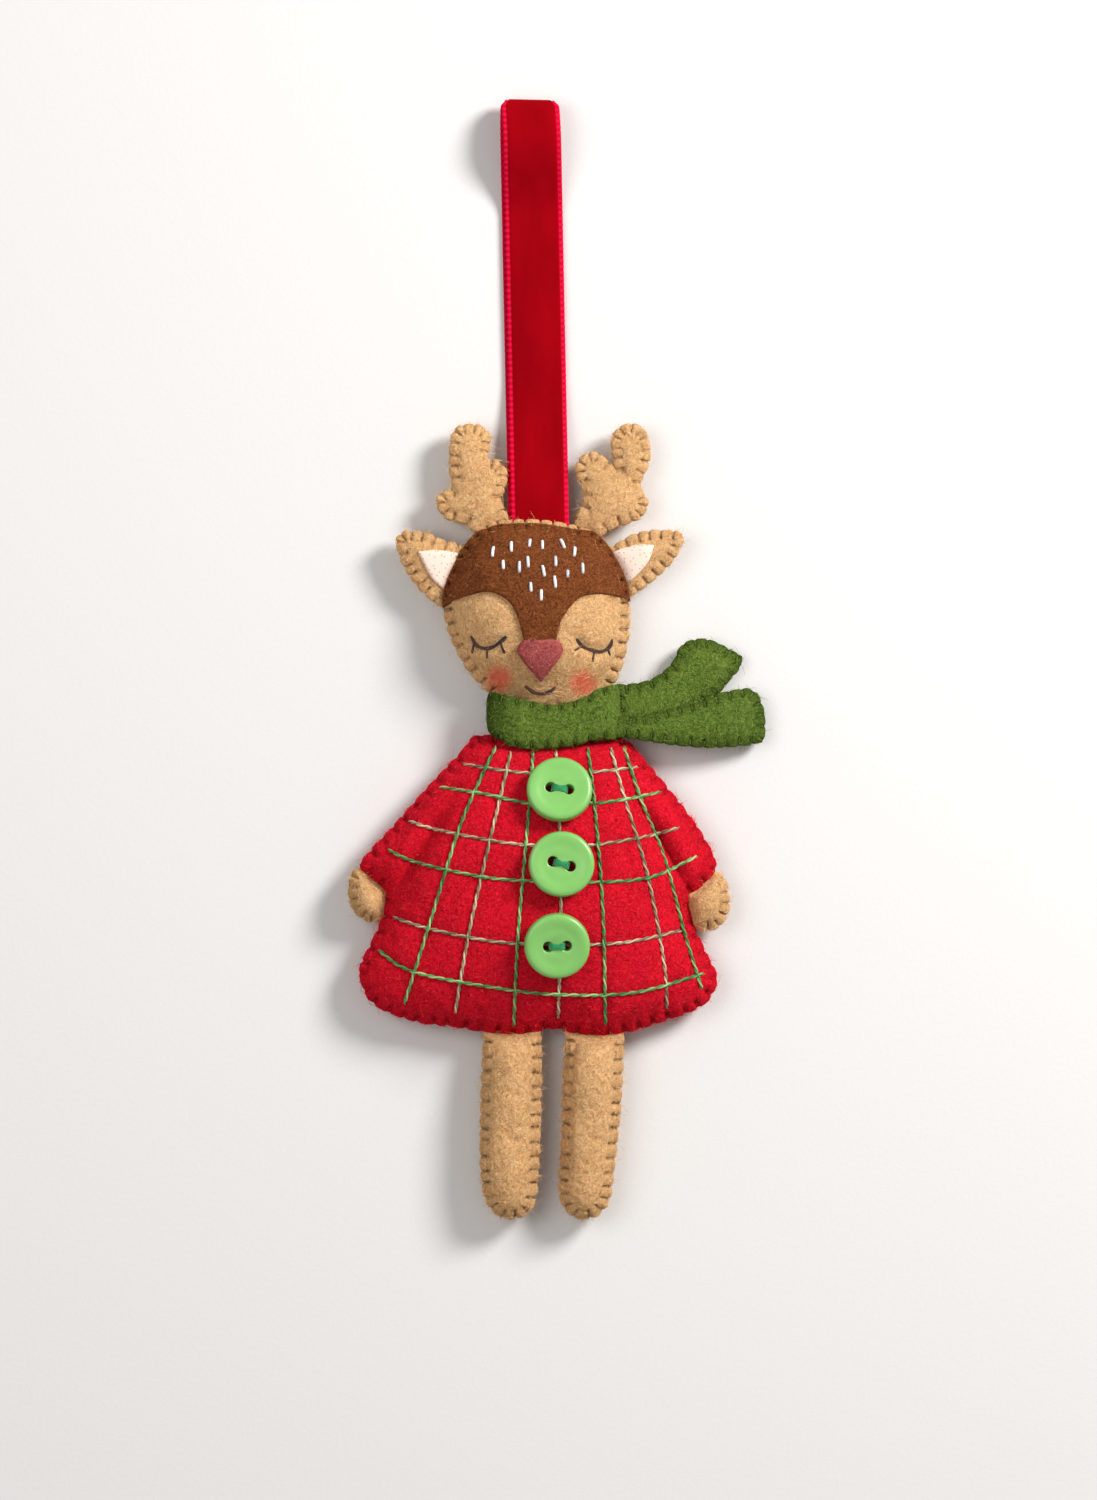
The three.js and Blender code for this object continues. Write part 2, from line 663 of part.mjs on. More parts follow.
for (const side of sides) {
  const [u, v] = antlerPlaceShares[side];
  const x = headX + u * headWidth;
  const y = headY + v * headLength;
  const outline = closedOutline(antlerOutlineShares[side], antlerWidth, antlerLength, x, y, fineStep);
  const rings = [outline, grown(outline, -seamWidth)];
  const half = clearance / 2;
  const frontFelt = slab(
    rings,
    (r) => seamHeight + feltEdge + r * antlerSwell,
    (r) => seamHeight + half + r * antlerSwell,
  );
  const backFelt = slab(
    rings,
    (r) => seamHeight - half - r * antlerSwell,
    (r) => seamHeight - feltEdge - r * antlerSwell,
  );
  add(side + "_antler_front_felt", cut(frontFelt, headSpace), "tanFelt");
  add(side + "_antler_back_felt", cut(backFelt, headSpace), "tanFelt");
}

// Coat, with the leg felts' ends inside its hem
const coat = stuffedForm({
  shares: coatOutlineShares,
  ridgeShares: coatRidgeShares,
  width: coatWidth,
  length: coatLength,
  x: 0,
  y: 0,
  step: coatStep,
  ringShares: coatRingShares,
  front: () => coatSwell,
  back: () => restSwell,
});
const tabHalf = (legWidth - seamWidth) / 2;
const tabAt = (side, gap) => {
  const x = legPlaceShares[side] * coatWidth;
  return block(
    new THREE.Vector3(x - tabHalf - gap, hemY - legGap, seamHeight - tabThickness / 2 - gap),
    new THREE.Vector3(x + tabHalf + gap, hemY + tabLength + gap, seamHeight + tabThickness / 2 + gap),
  );
};
const tabSpaces = sides.map((side) => tabAt(side, clearance));
add("coat_front_felt", cut(coat.frontFelt, ...tabSpaces), "redFelt");
add("coat_back_felt", cut(coat.backFelt, ...tabSpaces, floor), "redFelt");
add("coat_stuffing", cut(coat.filling, ...tabSpaces), "filling");
for (const side of sides) {
  add(side + "_leg_tab", common(tabAt(side, 0), prism(coat.outline, 0, reach)), "tanFelt");
}

// Hands, coming out of the sleeves
for (const side of sides) {
  const [u, v] = handPlaceShares[side];
  const hand = stuffedForm({
    shares: handOutlineShares[side],
    ridgeShares: handRidgeShares[side],
    width: handWidth,
    length: handLength,
    x: u * coatWidth,
    y: v * coatLength,
    step: fineStep,
    ringShares: smallRingShares,
    front: () => handSwell,
    back: () => handBackSwell,
  });
  add(side + "_hand_front_felt", cut(hand.frontFelt, coat.envelope()), "tanFelt");
  add(side + "_hand_back_felt", cut(hand.backFelt, coat.envelope()), "tanFelt");
  add(side + "_hand_stuffing", cut(hand.filling, coat.envelope()), "filling");
}

// Legs: each turns about a line across its top, between the felts
for (const side of sides) {
  const swing = new THREE.Group();
  root.add(swing);
  const leg = stuffedForm({
    shares: legOutlineShares[side],
    ridgeShares: legRidgeShares[side],
    width: legWidth,
    length: legLength,
    x: legPlaceShares[side] * coatWidth,
    y: legTop,
    step: legStep,
    ringShares: limbRingShares,
    front: () => legSwell,
    back: () => restSwell,
  });
  add(side + "_leg_front_felt", leg.frontFelt, "tanFelt", swing);
  add(side + "_leg_back_felt", cut(leg.backFelt, floor), "tanFelt", swing);
  add(side + "_leg_stuffing", leg.filling, "filling", swing);
}

// Plaid threads, the green laid over the beige, and the buttons over both
const coatHeight = frontHeight(coat);
const plaid = (threads, gap) => {
  const curves = threads.map((shares) => curvePoints(shares, coatWidth, coatLength, 0, 0, plaidStep));
  return laidOn(coat, curves.map((points) => stripAlong(points, threadWidth)), threadHeight, gap);
};
const threadPitch = threadGap + threadHeight;
add("plaid_beige_thread", plaid(beigeThreadShares, threadGap), "beigeThread");
add("plaid_green_thread", plaid(greenThreadShares, threadGap + threadPitch), "greenThread");

// A place on the coat that clears it all round: its height and which way it faces.
function seatOn(heightAt, x, y, radius, lift) {
  const slopeX = (heightAt(x + radius, y) - heightAt(x - radius, y)) / (2 * radius);
  const slopeY = (heightAt(x, y + radius) - heightAt(x, y - radius)) / (2 * radius);
  let height = heightAt(x, y);
  for (let i = 0; i < roundSegments; i++) {
    const angle = (2 * Math.PI * i) / roundSegments;
    for (const distance of [radius / 2, radius]) {
      const dx = distance * Math.cos(angle);
      const dy = distance * Math.sin(angle);
      height = Math.max(height, heightAt(x + dx, y + dy) - slopeX * dx - slopeY * dy);
    }
  }
  const facingWay = new THREE.Vector3(-slopeX, -slopeY, 1).normalize();
  return { position: new THREE.Vector3(x, y, height + lift / facingWay.z), facingWay };
}

function buttonGeometry() {
  const radius = buttonWidth / 2;
  const dishRadius = radius - buttonRim;
  const profile = [
    [0, 0],
    ...buttonEdgeShares.map(([r, z]) => [r * radius, z * buttonThickness]),
    [radius - buttonRim / 2, buttonThickness],
    [dishRadius, buttonThickness - buttonDish / 2],
    [dishRadius * buttonFloorShare, buttonThickness - buttonDish],
    [0, buttonThickness - buttonDish],
  ];
  const points = profile.map(([r, z]) => new THREE.Vector2(r, z));
  const disc = new THREE.LatheGeometry(points, roundSegments).rotateX(Math.PI / 2);
  const hole = (x) =>
    new THREE.CylinderGeometry(holeWidth / 2, holeWidth / 2, 4 * buttonThickness, roundSegments / 2)
      .rotateX(Math.PI / 2)
      .translate(x, 0, 0);
  return cut(outwards(disc.deleteAttribute("uv")), hole(-holeSpacing / 2), hole(holeSpacing / 2));
}

// The thread's visible turn: up through one hole, across, and down through the other.
function buttonThreadGeometry() {
  const half = buttonThread / 2;
  const aside = holeSpacing / 2;
  const top = buttonThickness - buttonDish + clearance + half;
  const section = (outerX, outerZ, innerX, innerZ) => [
    new THREE.Vector3(outerX, -half, outerZ),
    new THREE.Vector3(outerX, half, outerZ),
    new THREE.Vector3(innerX, half, innerZ),
    new THREE.Vector3(innerX, -half, innerZ),
  ];
  return sweep([
    section(-aside - half, 0, -aside + half, 0),
    section(-aside - half, top + half, -aside + half, top - half),
    section(aside + half, top + half, aside - half, top - half),
    section(aside + half, 0, aside - half, 0),
  ]);
}

for (const [name, [u, v]] of Object.entries(buttonPlaceShares)) {
  const lift = 2 * threadPitch + threadGap;
  const seat = seatOn(coatHeight, u * coatWidth, v * coatLength, buttonWidth / 2, lift);
  const button = new THREE.Group();
  button.position.copy(seat.position);
  button.quaternion.setFromUnitVectors(new THREE.Vector3(0, 0, 1), seat.facingWay);
  button.rotateZ(THREE.MathUtils.degToRad(buttonTurns[name]));
  root.add(button);
  add(name + "_button", buttonGeometry(), "button", button);
  add(name + "_button_thread", buttonThreadGeometry(), "greenThread", button);
}

// Scarf: the band arches over the neck in front and passes flat behind it
const bandSide = seamHeight + feltEdge;
const bandArch = neckSwell + clearance;
const bandDepth = 2 * feltEdge + clearance;
function bandPoint(angle, outside) {
  const [c, s] = [Math.cos(angle), Math.sin(angle)];
  const squareness = s < 0 ? bandBackSquareness : bandFrontSquareness;
  const half = bandInnerHalf + outside;
  const rise = (s < 0 ? bandDepth : bandArch) + outside;
  return {
    x: headX + half * Math.sign(c) * Math.abs(c) ** squareness,
    z: bandSide + rise * Math.sign(s) * Math.abs(s) ** squareness,
  };
}
const bandSections = Array.from({ length: bandSegments }, (_, i) => {
  const angle = (2 * Math.PI * (i + 0.5)) / bandSegments;
  const middle = bandY - bandDroop * Math.max(0, Math.sin(angle));
  const inner = bandPoint(angle, 0);
  const outer = bandPoint(angle, felt);
  const low = middle - bandWidth / 2;
  const high = middle + bandWidth / 2;
  return [
    new THREE.Vector3(inner.x, low, inner.z),
    new THREE.Vector3(outer.x, low, outer.z),
    new THREE.Vector3(outer.x, high, outer.z),
    new THREE.Vector3(inner.x, high, inner.z),
  ];
});
add("scarf_neck_band", cut(sweep(bandSections, true), head.envelope(), coat.envelope()), "greenFelt");

// Tails: flat strips, one over the other, sloping down from the band to the floor
const tails = new THREE.Group();
root.add(tails);
function tail(shares, length, bottomAtRoot) {
  const outline = closedOutline(shares, length, tailSpread, tailX, bandY, smallStep);
  const geometry = prism(outline, bottomAtRoot, bottomAtRoot + felt);
  const position = geometry.getAttribute("position");
  for (let i = 0; i < position.count; i++) {
    position.setZ(i, position.getZ(i) - tailSlope * (position.getX(i) - tailX));
  }
  return geometry;
}
const underTail = tailHeight - tailHalf;
add("scarf_upper_tail", tail(upperTailOutlineShares, upperTailLength, underTail), "greenFelt", tails);
add(
  "scarf_lower_tail",
  tail(lowerTailOutlineShares, lowerTailLength, underTail + felt + clearance),
  "greenFelt",
  tails,
);

// Ribbon: two plies from the head's seam down to the floor, opening into a loop at the far end.
// Its middle line is given by the distance from the seam and the height.
const plyPitch = ribbonPly + plyGap;
const lowestPly = ribbonFloorGap + ribbonPly / 2;
const loopRise = loopHeight + ribbonPly;
const loopMiddle = ribbonLength - loopLength / 2;
const { lerp, smoothstep } = THREE.MathUtils;
const lowerPly = (d) => lerp(seamHeight - plyPitch / 2, lowestPly, smoothstep(d, 0, ribbonDrop));
const plySpread = (d) => lerp(plyPitch, loopRise, smoothstep(d, loopMiddle - loopThroat, loopMiddle));
const plyPlaces = Array.from({ length: plySteps }, (_, i) => (loopMiddle * i) / plySteps);
const loopPoints = Array.from({ length: loopSteps + 1 }, (_, i) => {
  const angle = Math.PI / 2 - (Math.PI * i) / loopSteps;
  const ahead = (loopLength / 2) * Math.cos(angle);
  return [loopMiddle + ahead, lowestPly + (loopRise / 2) * (1 + Math.sin(angle))];
});
const plyPath = [
  ...plyPlaces.map((d) => [d, lowerPly(d) + plySpread(d)]),
  ...loopPoints,
  ...plyPlaces.toReversed().map((d) => [d, lowerPly(d)]),
];
const ribbonSections = plyPath.map(([d, z], i) => {
  const [d0, z0] = plyPath[Math.max(i - 1, 0)];
  const [d1, z1] = plyPath[Math.min(i + 1, plyPath.length - 1)];
  const half = ribbonPly / 2 / Math.hypot(d1 - d0, z1 - z0);
  const outY = (z0 - z1) * half;
  const outZ = (d1 - d0) * half;
  const x = ribbonX + (ribbonLean * d) / ribbonLength;
  const corner = (side, face) =>
    new THREE.Vector3(x + (side * ribbonWidth) / 2, ribbonY + d + face * outY, z + face * outZ);
  return [corner(-1, -1), corner(1, -1), corner(1, 1), corner(-1, 1)];
});
const swing = new THREE.Group();
root.add(swing);
add("hanging_ribbon", sweep(ribbonSections), "velvet", swing);

export default root;
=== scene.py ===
import math

import bpy
import numpy as np
from mathutils import Matrix, Vector, geometry
from mathutils.bvhtree import BVHTree


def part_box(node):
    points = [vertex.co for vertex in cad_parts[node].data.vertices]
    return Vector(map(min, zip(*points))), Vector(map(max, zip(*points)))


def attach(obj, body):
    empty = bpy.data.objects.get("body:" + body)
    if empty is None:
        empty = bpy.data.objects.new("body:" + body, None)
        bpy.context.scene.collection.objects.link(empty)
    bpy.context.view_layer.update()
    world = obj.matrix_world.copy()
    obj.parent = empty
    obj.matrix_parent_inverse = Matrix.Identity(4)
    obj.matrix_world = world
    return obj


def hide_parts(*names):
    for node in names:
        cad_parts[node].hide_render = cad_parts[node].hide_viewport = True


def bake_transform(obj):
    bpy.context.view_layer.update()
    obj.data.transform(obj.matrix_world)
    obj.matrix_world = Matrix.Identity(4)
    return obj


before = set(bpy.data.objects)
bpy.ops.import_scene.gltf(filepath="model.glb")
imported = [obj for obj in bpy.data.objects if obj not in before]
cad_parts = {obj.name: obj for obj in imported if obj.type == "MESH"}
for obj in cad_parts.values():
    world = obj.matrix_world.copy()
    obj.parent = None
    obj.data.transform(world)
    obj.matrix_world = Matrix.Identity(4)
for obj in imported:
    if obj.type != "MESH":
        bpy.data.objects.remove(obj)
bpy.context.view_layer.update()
mm = 0.001  # sizes in the dictionaries are millimetres, and meshes are metres
floorGap = 0.03  # the lowest that a piece lies over the floor


# Camera, floor and light

view = {"middle": (-0.44, 24.65), "height": 1900, "pictureHeight": 262.5, "sensor": 36, "clip": 10}
studio = {
    "floorSize": 3000,
    "floorFade": (190, 480),
    "floorColour": (0.8, 0.78, 0.76),
    "skyStrength": 0.32,
    # place, size and power of each lamp
    "lamps": {"keyLamp": ((480, 380, 420), 240, 6.1), "fillLamp": ((-350, 120, 600), 500, 1.55)},
}


def select(*pieces):
    # these alone, with the first one active
    for piece in bpy.context.selected_objects:
        piece.select_set(False)
    for piece in reversed(pieces):
        piece.select_set(True)
        bpy.context.view_layer.objects.active = piece


def editing(piece):
    select(piece)
    bpy.ops.object.mode_set(mode="EDIT")


def editingEnd(piece, way=(0, 0, 1)):
    # with only the face selected that is farthest that way
    editing(piece)
    bpy.ops.mesh.select_mode(type="FACE")
    bpy.ops.mesh.select_all(action="DESELECT")
    bpy.ops.object.mode_set(mode="OBJECT")
    way = Vector(way)
    last = max(piece.data.polygons, key=lambda face: (round(face.center.dot(way), 6), face.area))
    last.select = True
    middle = last.center.copy()
    bpy.ops.object.mode_set(mode="EDIT")
    return middle


def makeCamera():
    x, y = view["middle"]
    bpy.ops.object.camera_add(location=(x * mm, y * mm, view["height"] * mm), rotation=(0, 0, 0))
    camera = bpy.context.object
    camera.name = "photoCamera"
    camera.data.sensor_width = view["sensor"]
    camera.data.lens = view["sensor"] * view["height"] / view["pictureHeight"]
    camera.data.clip_start = view["clip"] * mm
    bpy.context.scene.camera = camera


def makeLamp(name, place, size, power):
    target = Vector((*view["middle"], 0)) * mm
    place = Vector(place) * mm
    turn = (target - place).to_track_quat("-Z", "Y").to_euler()
    bpy.ops.object.light_add(type="AREA", location=place, rotation=turn)
    lamp = bpy.context.object
    lamp.name = name
    lamp.data.shape = "DISK"
    lamp.data.size = size * mm
    lamp.data.energy = power


select()
makeCamera()
for name, lampLook in studio["lamps"].items():
    makeLamp(name, *lampLook)
bpy.context.scene.view_settings.view_transform = "Standard"
print("camera and lamps are in place")


# Shader maths: a Wire is one socket, and sums on it add Math nodes

class Wire:
    def __init__(self, tree, socket):
        self.tree = tree
        self.socket = socket

    def maths(self, operation, *values, clamp=False):
        made = self.tree.nodes.new("ShaderNodeMath")
        made.operation = operation
        made.use_clamp = clamp
        for socket, value in zip(made.inputs, values):
            if isinstance(value, Wire):
                self.tree.links.new(value.socket, socket)
            else:
                socket.default_value = value
        return Wire(self.tree, made.outputs[0])

    def __add__(self, other):
        return self.maths("ADD", self, other)

    __radd__ = __add__

    def __sub__(self, other):
        return self.maths("SUBTRACT", self, other)

    def __rsub__(self, other):
        return self.maths("SUBTRACT", other, self)

    def __mul__(self, other):
        return self.maths("MULTIPLY", self, other)

    def highest(self, other):
        return self.maths("MAXIMUM", self, other)

    def between(self, low, high):
        return self.maths("DIVIDE", self - low, high - low, clamp=True)


class Finish:
    def __init__(self, name):
        self.material = bpy.data.materials.new(name)
        self.material.use_nodes = True
        self.tree = self.material.node_tree
        self.surface = self.tree.nodes["Principled BSDF"]

    def node(self, kind, settings=None, inputs=None, output=0):
        made = self.tree.nodes.new(kind)
        for key, value in (settings or {}).items():
            setattr(made, key, value)
        for key, value in (inputs or {}).items():
            self.put(made.inputs[key], value)
        return Wire(self.tree, made.outputs[output])

    def put(self, socket, value):
        if isinstance(value, Wire):
            self.tree.links.new(value.socket, socket)
        elif socket.type == "RGBA" and len(value) == 3:
            socket.default_value = (*value, 1)
        else:
            socket.default_value = value

    def place(self):
        return self.node("ShaderNodeTexCoord", output="Object")

    def noise(self, where, grain, detail=2, roughness=0.5):
        # a grain of 0 stands for a place that is already scaled
        scale = 1 / (grain * mm) if grain else 1
        inputs = {"Vector": where, "Scale": scale, "Detail": detail, "Roughness": roughness}
        return self.node("ShaderNodeTexNoise", inputs=inputs, output="Fac")

    def turned(self, where, angle, scale):
        inputs = {"Vector": where, "Rotation": (0, 0, math.radians(angle)), "Scale": scale}
        return self.node("ShaderNodeMapping", {"vector_type": "TEXTURE"}, inputs)

    def vector(self, operation, *values, output="Vector"):
        inputs = dict(enumerate(values))
        return self.node("ShaderNodeVectorMath", {"operation": operation}, inputs, output)

    def mixed(self, share, first, second):
        inputs = {0: share, 6: first, 7: second}
        return self.node("ShaderNodeMix", {"data_type": "RGBA"}, inputs, output=2)

    def attribute(self, name):
        return self.node("ShaderNodeAttribute", {"attribute_name": name}, output="Fac")

    def finished(self, bump=None, **inputs):
        # a bump is its height, as a share, and its depth
        if bump:
            height, depth = bump
            bump = {"Height": height, "Distance": depth * mm, "Strength": 1}
            inputs["Normal"] = self.node("ShaderNodeBump", inputs=bump, output="Normal")
        for key, value in inputs.items():
            self.put(self.surface.inputs[key.replace("_", " ")], value)
        return self.material


# Wool felt: mottled, with lighter and darker fibres lying every way, and with painted shade in the stitch
# grooves and holes and near shaded edges
tanLook = {"base": (0.86, 0.45, 0.165), "light": (0.97, 0.69, 0.38), "dark": (0.52, 0.225, 0.07),
           "fleck": (0.98, 0.84, 0.6), "flecks": 0.5}
feltLooks = {
    "redFelt": {"base": (0.8, 0.004, 0.02), "light": (0.97, 0.02, 0.045), "dark": (0.44, 0.001, 0.008),
                "fleck": (0.98, 0.2, 0.2), "flecks": 0.4},
    "tanFelt": tanLook,
    "faceFelt": {**tanLook, "blush": True},
    "brownFelt": {"base": (0.2, 0.05, 0.013), "light": (0.38, 0.125, 0.04), "dark": (0.07, 0.015, 0.004),
                  "fleck": (0.5, 0.22, 0.09), "flecks": 0.6},
    "greenFelt": {"base": (0.105, 0.17, 0.017), "light": (0.25, 0.34, 0.066), "dark": (0.016, 0.06, 0.003),
                  "fleck": (0.48, 0.56, 0.2), "flecks": 0.6},
    "noseFelt": {"base": (0.46, 0.08, 0.075), "light": (0.68, 0.19, 0.17), "dark": (0.23, 0.03, 0.03),
                 "fleck": (0.85, 0.42, 0.38), "flecks": 0.5},
}
blush = {
    "places": ((-9.05, 37.0), (5.6, 36.3)),
    "core": 1.1,
    "edge": 3.0,
    "rough": 1.1,
    "strength": 0.82,
    "low": 4.2,
    "high": 5.2,
    "colour": (1.0, 0.12, 0.07),
}
fibre = {"length": 1.7, "width": 0.15, "angles": (8, 41, 77, 112, 151), "wander": 1.1, "depth": 0.13}
mottle = {"broad": 5.5, "fine": 0.6, "grain": 0.2, "fleck": 0.35, "wander": 1.4}


def fibreMask(finish, where, low, high):
    wander = finish.noise(where, mottle["wander"], 1) - 0.5
    bent = finish.vector("ADD", where, wander * (fibre["wander"] * mm))
    size = (fibre["length"] * mm, fibre["width"] * mm, fibre["width"] * mm)
    mask = None
    for angle in fibre["angles"]:
        strand = finish.noise(finish.turned(bent, angle, size), 0, 1).between(low, high)
        mask = strand if mask is None else mask.highest(strand)
    return mask


def withBlush(finish, colour):
    # two soft round blushes, brushed on the front of the face
    where = finish.place()
    height = finish.node("ShaderNodeSeparateXYZ", inputs={0: where}, output="Z")
    front = height.between(blush["low"] * mm, blush["high"] * mm)
    rough = finish.noise(where, 0.5, 3, 0.7) * (blush["rough"] * mm)
    for x, y in blush["places"]:
        offset = finish.vector("SUBTRACT", where, (x * mm, y * mm, 0))
        flat = finish.vector("MULTIPLY", offset, (1, 1, 0))
        away = finish.vector("LENGTH", flat, output="Value")
        reach = away + rough - blush["rough"] * 0.5 * mm
        mask = 1 - reach.between(blush["core"] * mm, blush["edge"] * mm)
        colour = finish.mixed(mask * front * blush["strength"], colour, blush["colour"])
    return colour


def makeFelt(name, look):
    finish = Finish(name)
    where = finish.place()
    broad = finish.noise(where, mottle["broad"], 3, 0.6)
    fine = finish.noise(where, mottle["fine"], 3, 0.65)
    grain = finish.noise(where, mottle["grain"], 2, 0.7)
    strands = fibreMask(finish, where, 0.6, 0.72)
    shadows = fibreMask(finish, finish.turned(where, 23, (1, 1, 1)), 0.62, 0.74)
    flecks = finish.noise(where, mottle["fleck"], 1).between(0.66, 0.75) * strands
    pinch = finish.attribute("pinch")
    colour = finish.mixed((broad * 0.45 + fine * 0.55).between(0.32, 0.62), look["dark"], look["base"])
    colour = finish.mixed((fine * 0.45 + grain * 0.55).between(0.42, 0.66) * 0.6, colour, look["light"])
    colour = finish.mixed(strands * 0.78, colour, look["light"])
    colour = finish.mixed(shadows * 0.85, colour, look["dark"])
    colour = finish.mixed(flecks * look["flecks"], colour, look["fleck"])
    if "blush" in look:
        colour = withBlush(finish, colour)
    # painted shade: a dark colour mixed in by the stored attribute, at stitch grooves, holes and shaded
    # edges
    darkened = tuple(0.3 * part for part in look["dark"])
    colour = finish.mixed(pinch * 0.85, colour, darkened)
    height = strands * 0.6 + grain * 0.55 + fine * 0.35 - shadows * 0.5
    return finish.finished((height, fibre["depth"]), Base_Color=colour, Roughness=0.93,
                           Sheen_Weight=0.14, Sheen_Roughness=0.45, Sheen_Tint=look["light"],
                           Specular_IOR_Level=0.05)


# Outlines and curves: x and y by turns, in thousandths of a piece's width and length, as in the
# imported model; a new stretch starts at each corner

coat = {
    "outline": (
        (-222, 503, -258, 451, -350, 336, -443, 214, -524, 109, -535, 76, -493, 30),
        (-463, -3),
        (-471, -72, -496, -148, -532, -234, -537, -286, -499, -372, -385, -428, -271, -447, -180, -470,
         -102, -479, -44, -472, 6, -459, 64, -477, 125, -482, 191, -473, 324, -423, 427, -372, 463,
         -293, 438, -217, 404, -132, 385, -59),
        (382, -13),
        (424, 20, 460, 79, 432, 164, 374, 265, 288, 391, 211, 493, 183, 510),
        (-197, 510),
    ),
    "swell": 8.6,
    "hemLift": 0.5,
    # width, depth and line of each fold: along the armholes, and beside the waist
    "folds": ((1.5, 0.66, ((-27.0, 0.2), (-25.4, 2.6), (-22.4, 7.3), (-19.3, 12.2), (-15.2, 19.0))),
              (1.5, 0.58, ((24.8, -1.2), (21.6, 4.0), (18.2, 10.1), (15.3, 14.6), (11.6, 20.6))),
              (2.2, 0.12, ((-24.6, 0.4), (-22.2, -6.0), (-22.0, -14.0)))),
    "hemReach": 6,
    "hemSpread": 13,
}
head = {
    "swell": 7.1,
    "neckTop": 31,
    "cheek": 42,
    "patch": 0.7,
    "patchInset": -0.3,
    "patchTop": 0.5,
    "lidWidth": 1.0,
    "lidDepth": 0.2,
    "lids": ((-11.2, 46.6), (7.5, 46.3)),
    "lidSize": (4.4, 3.9),
    "lidSwell": 0.9,
    "noseHeight": 0.9,
    "strand": 0.145,
    "seedThread": 0.28,
    # where each white stitch lies, how far it leans to the left, and its length
    "seeds": ((-10.1, 59.2, 2, 2.1), (-6.9, 60.1, 4, 2.3), (-3.7, 60.7, 0, 1.8), (-1.5, 60.4, -2, 1.9),
              (2.0, 60.6, 12, 2.2), (4.1, 59.2, -12, 2.1), (-8.3, 56.9, 6, 1.8), (-5.5, 56.5, 0, 2.2),
              (-4.0, 57.4, 4, 2.2), (-1.3, 55.8, 10, 2.2), (0.8, 57.5, 0, 2.0), (0.7, 53.9, 5, 2.3),
              (2.9, 55.3, -3, 1.5), (5.5, 56.3, -5, 2.1), (-3.5, 53.0, 4, 1.8), (-1.7, 51.6, -1, 2.1)),
    "outline": (
        (-334, 988, -448, 913, -546, 768, -595, 631, -565, 472, -473, 315, -351, 195),
        (-307, 138, -302, 0),
        (302, 0),
        (304, 148, 318, 218, 361, 303, 402, 453, 402, 669, 315, 847, 218, 941, 110, 974, -73, 1000,
         -226, 1000),
    ),
    "forehead": (
        (-595, 594, -505, 636, -367, 664, -269, 636, -209, 575, -170, 470, -162, 425),
        (14, 425),
        (22, 470, 46, 538, 133, 631, 236, 655, 356, 641, 470, 603),
        (470, 1101),
        (-671, 1101),
        (-671, 575),
    ),
    "nose": (
        (-117, 447, -68, 441, -19, 447, 24, 439),
        (52, 392, 14, 331, -68, 242),
        (-160, 331, -198, 392, -166, 439),
    ),
    "eyes": {
        "left": (
            (-451, 462, -421, 418, -361, 399, -291, 427, -253, 462),
            (-432, 432, -443, 373),
            (-361, 401, -361, 350),
            (-291, 430, -264, 373),
        ),
        "right": (
            (121, 450, 153, 413, 234, 385, 294, 399, 321, 446),
            (155, 412, 111, 387),
            (220, 390, 213, 334),
            (294, 400, 310, 364),
        ),
    },
    "mouth": (
        (-160, 228, -117, 200, -62, 188, -19, 200, 14, 223),
    ),
}
ear = {
    "width": 14.2,
    "length": 14,
    "place": {"left": (-0.552, 0.749), "right": (0.372, 0.749)},
    "outline": {
        "left": (
            (321, 287, 154, 338, -91, 412, -337, 512, -580, 537),
            (-679, 438, -654, 275, -568, 62, -407, -163, -210, -350, 0, -463),
            (321, -312),
        ),
        "right": (
            (-272, 287, -105, 350, 116, 475, 346, 537, 667, 537),
            (753, 463, 704, 312, 605, 150, 432, -25, 222, -188, 0, -325),
            (-272, -263),
        ),
    },
    "inner": {
        "left": (
            (-173, 300, 80, 263),
            (12, 13, -104, -188),
            (-259, -37, -422, 281),
        ),
        "right": (
            (19, 325, 222, 369, 399, 362),
            (321, 150, 160, -37, 25, -138),
            (-99, 62, -130, 263),
        ),
    },
    "form": {"swell": 0.9, "backSwell": 0.7, "spacing": 0.6, "scallop": 0.9, "pinch": 0.75},
}
antler = {
    "width": 12.3,
    "length": 17.5,
    "place": {"left": (-0.345, 0.979), "right": (0.209, 0.979)},
    "outline": {
        "left": (
            (243, 80, 143, 240, 200, 375, 229, 530, 86, 650),
            (-57, 650),
            (-14, 770, -14, 900, -171, 995, -429, 985, -543, 890, -571, 710, -571, 580, -529, 370),
            (-686, 320, -757, 230, -643, 80, -364, 20),
            (-171, -90),
            (243, -90),
        ),
        "right": (
            (71, -140),
            (286, -30, 506, 25, 700, 90, 790, 230, 686, 360),
            (700, 460, 800, 610, 819, 770, 743, 940, 563, 1010, 357, 950, 279, 810, 343, 540),
            (229, 630, 51, 720, -143, 680, -229, 554, -143, 375, -121, 230, -229, 70),
            (-229, -140),
        ),
    },
    "form": {
        "swell": 1.3,
        "backSwell": 0.9,
        "spacing": 0.5,
        "fullness": 0.75,
        "scallop": 0.85,
        "pinch": 0.55,
    },
}
hand = {
    "width": 8,
    "length": 8.8,
    "shade": {"left": 0.3, "right": 0},
    "place": {"left": (-0.474, -0.02), "right": (0.385, -0.026)},
    "outline": {
        "left": (
            (174, 240, -174, 480, -609, 520, -739, 140, -630, -260, -304, -480, 0, -440),
            (261, -180),
        ),
        "right": (
            (-87, 240, -130, -140),
            (152, -560, 565, -590, 826, -320, 859, 80, 696, 480, 217, 520),
        ),
    },
    "form": {"swell": 2.4, "backSwell": 1.4, "spacing": 0.6, "scallop": 1.0, "pinch": 0.7},
}
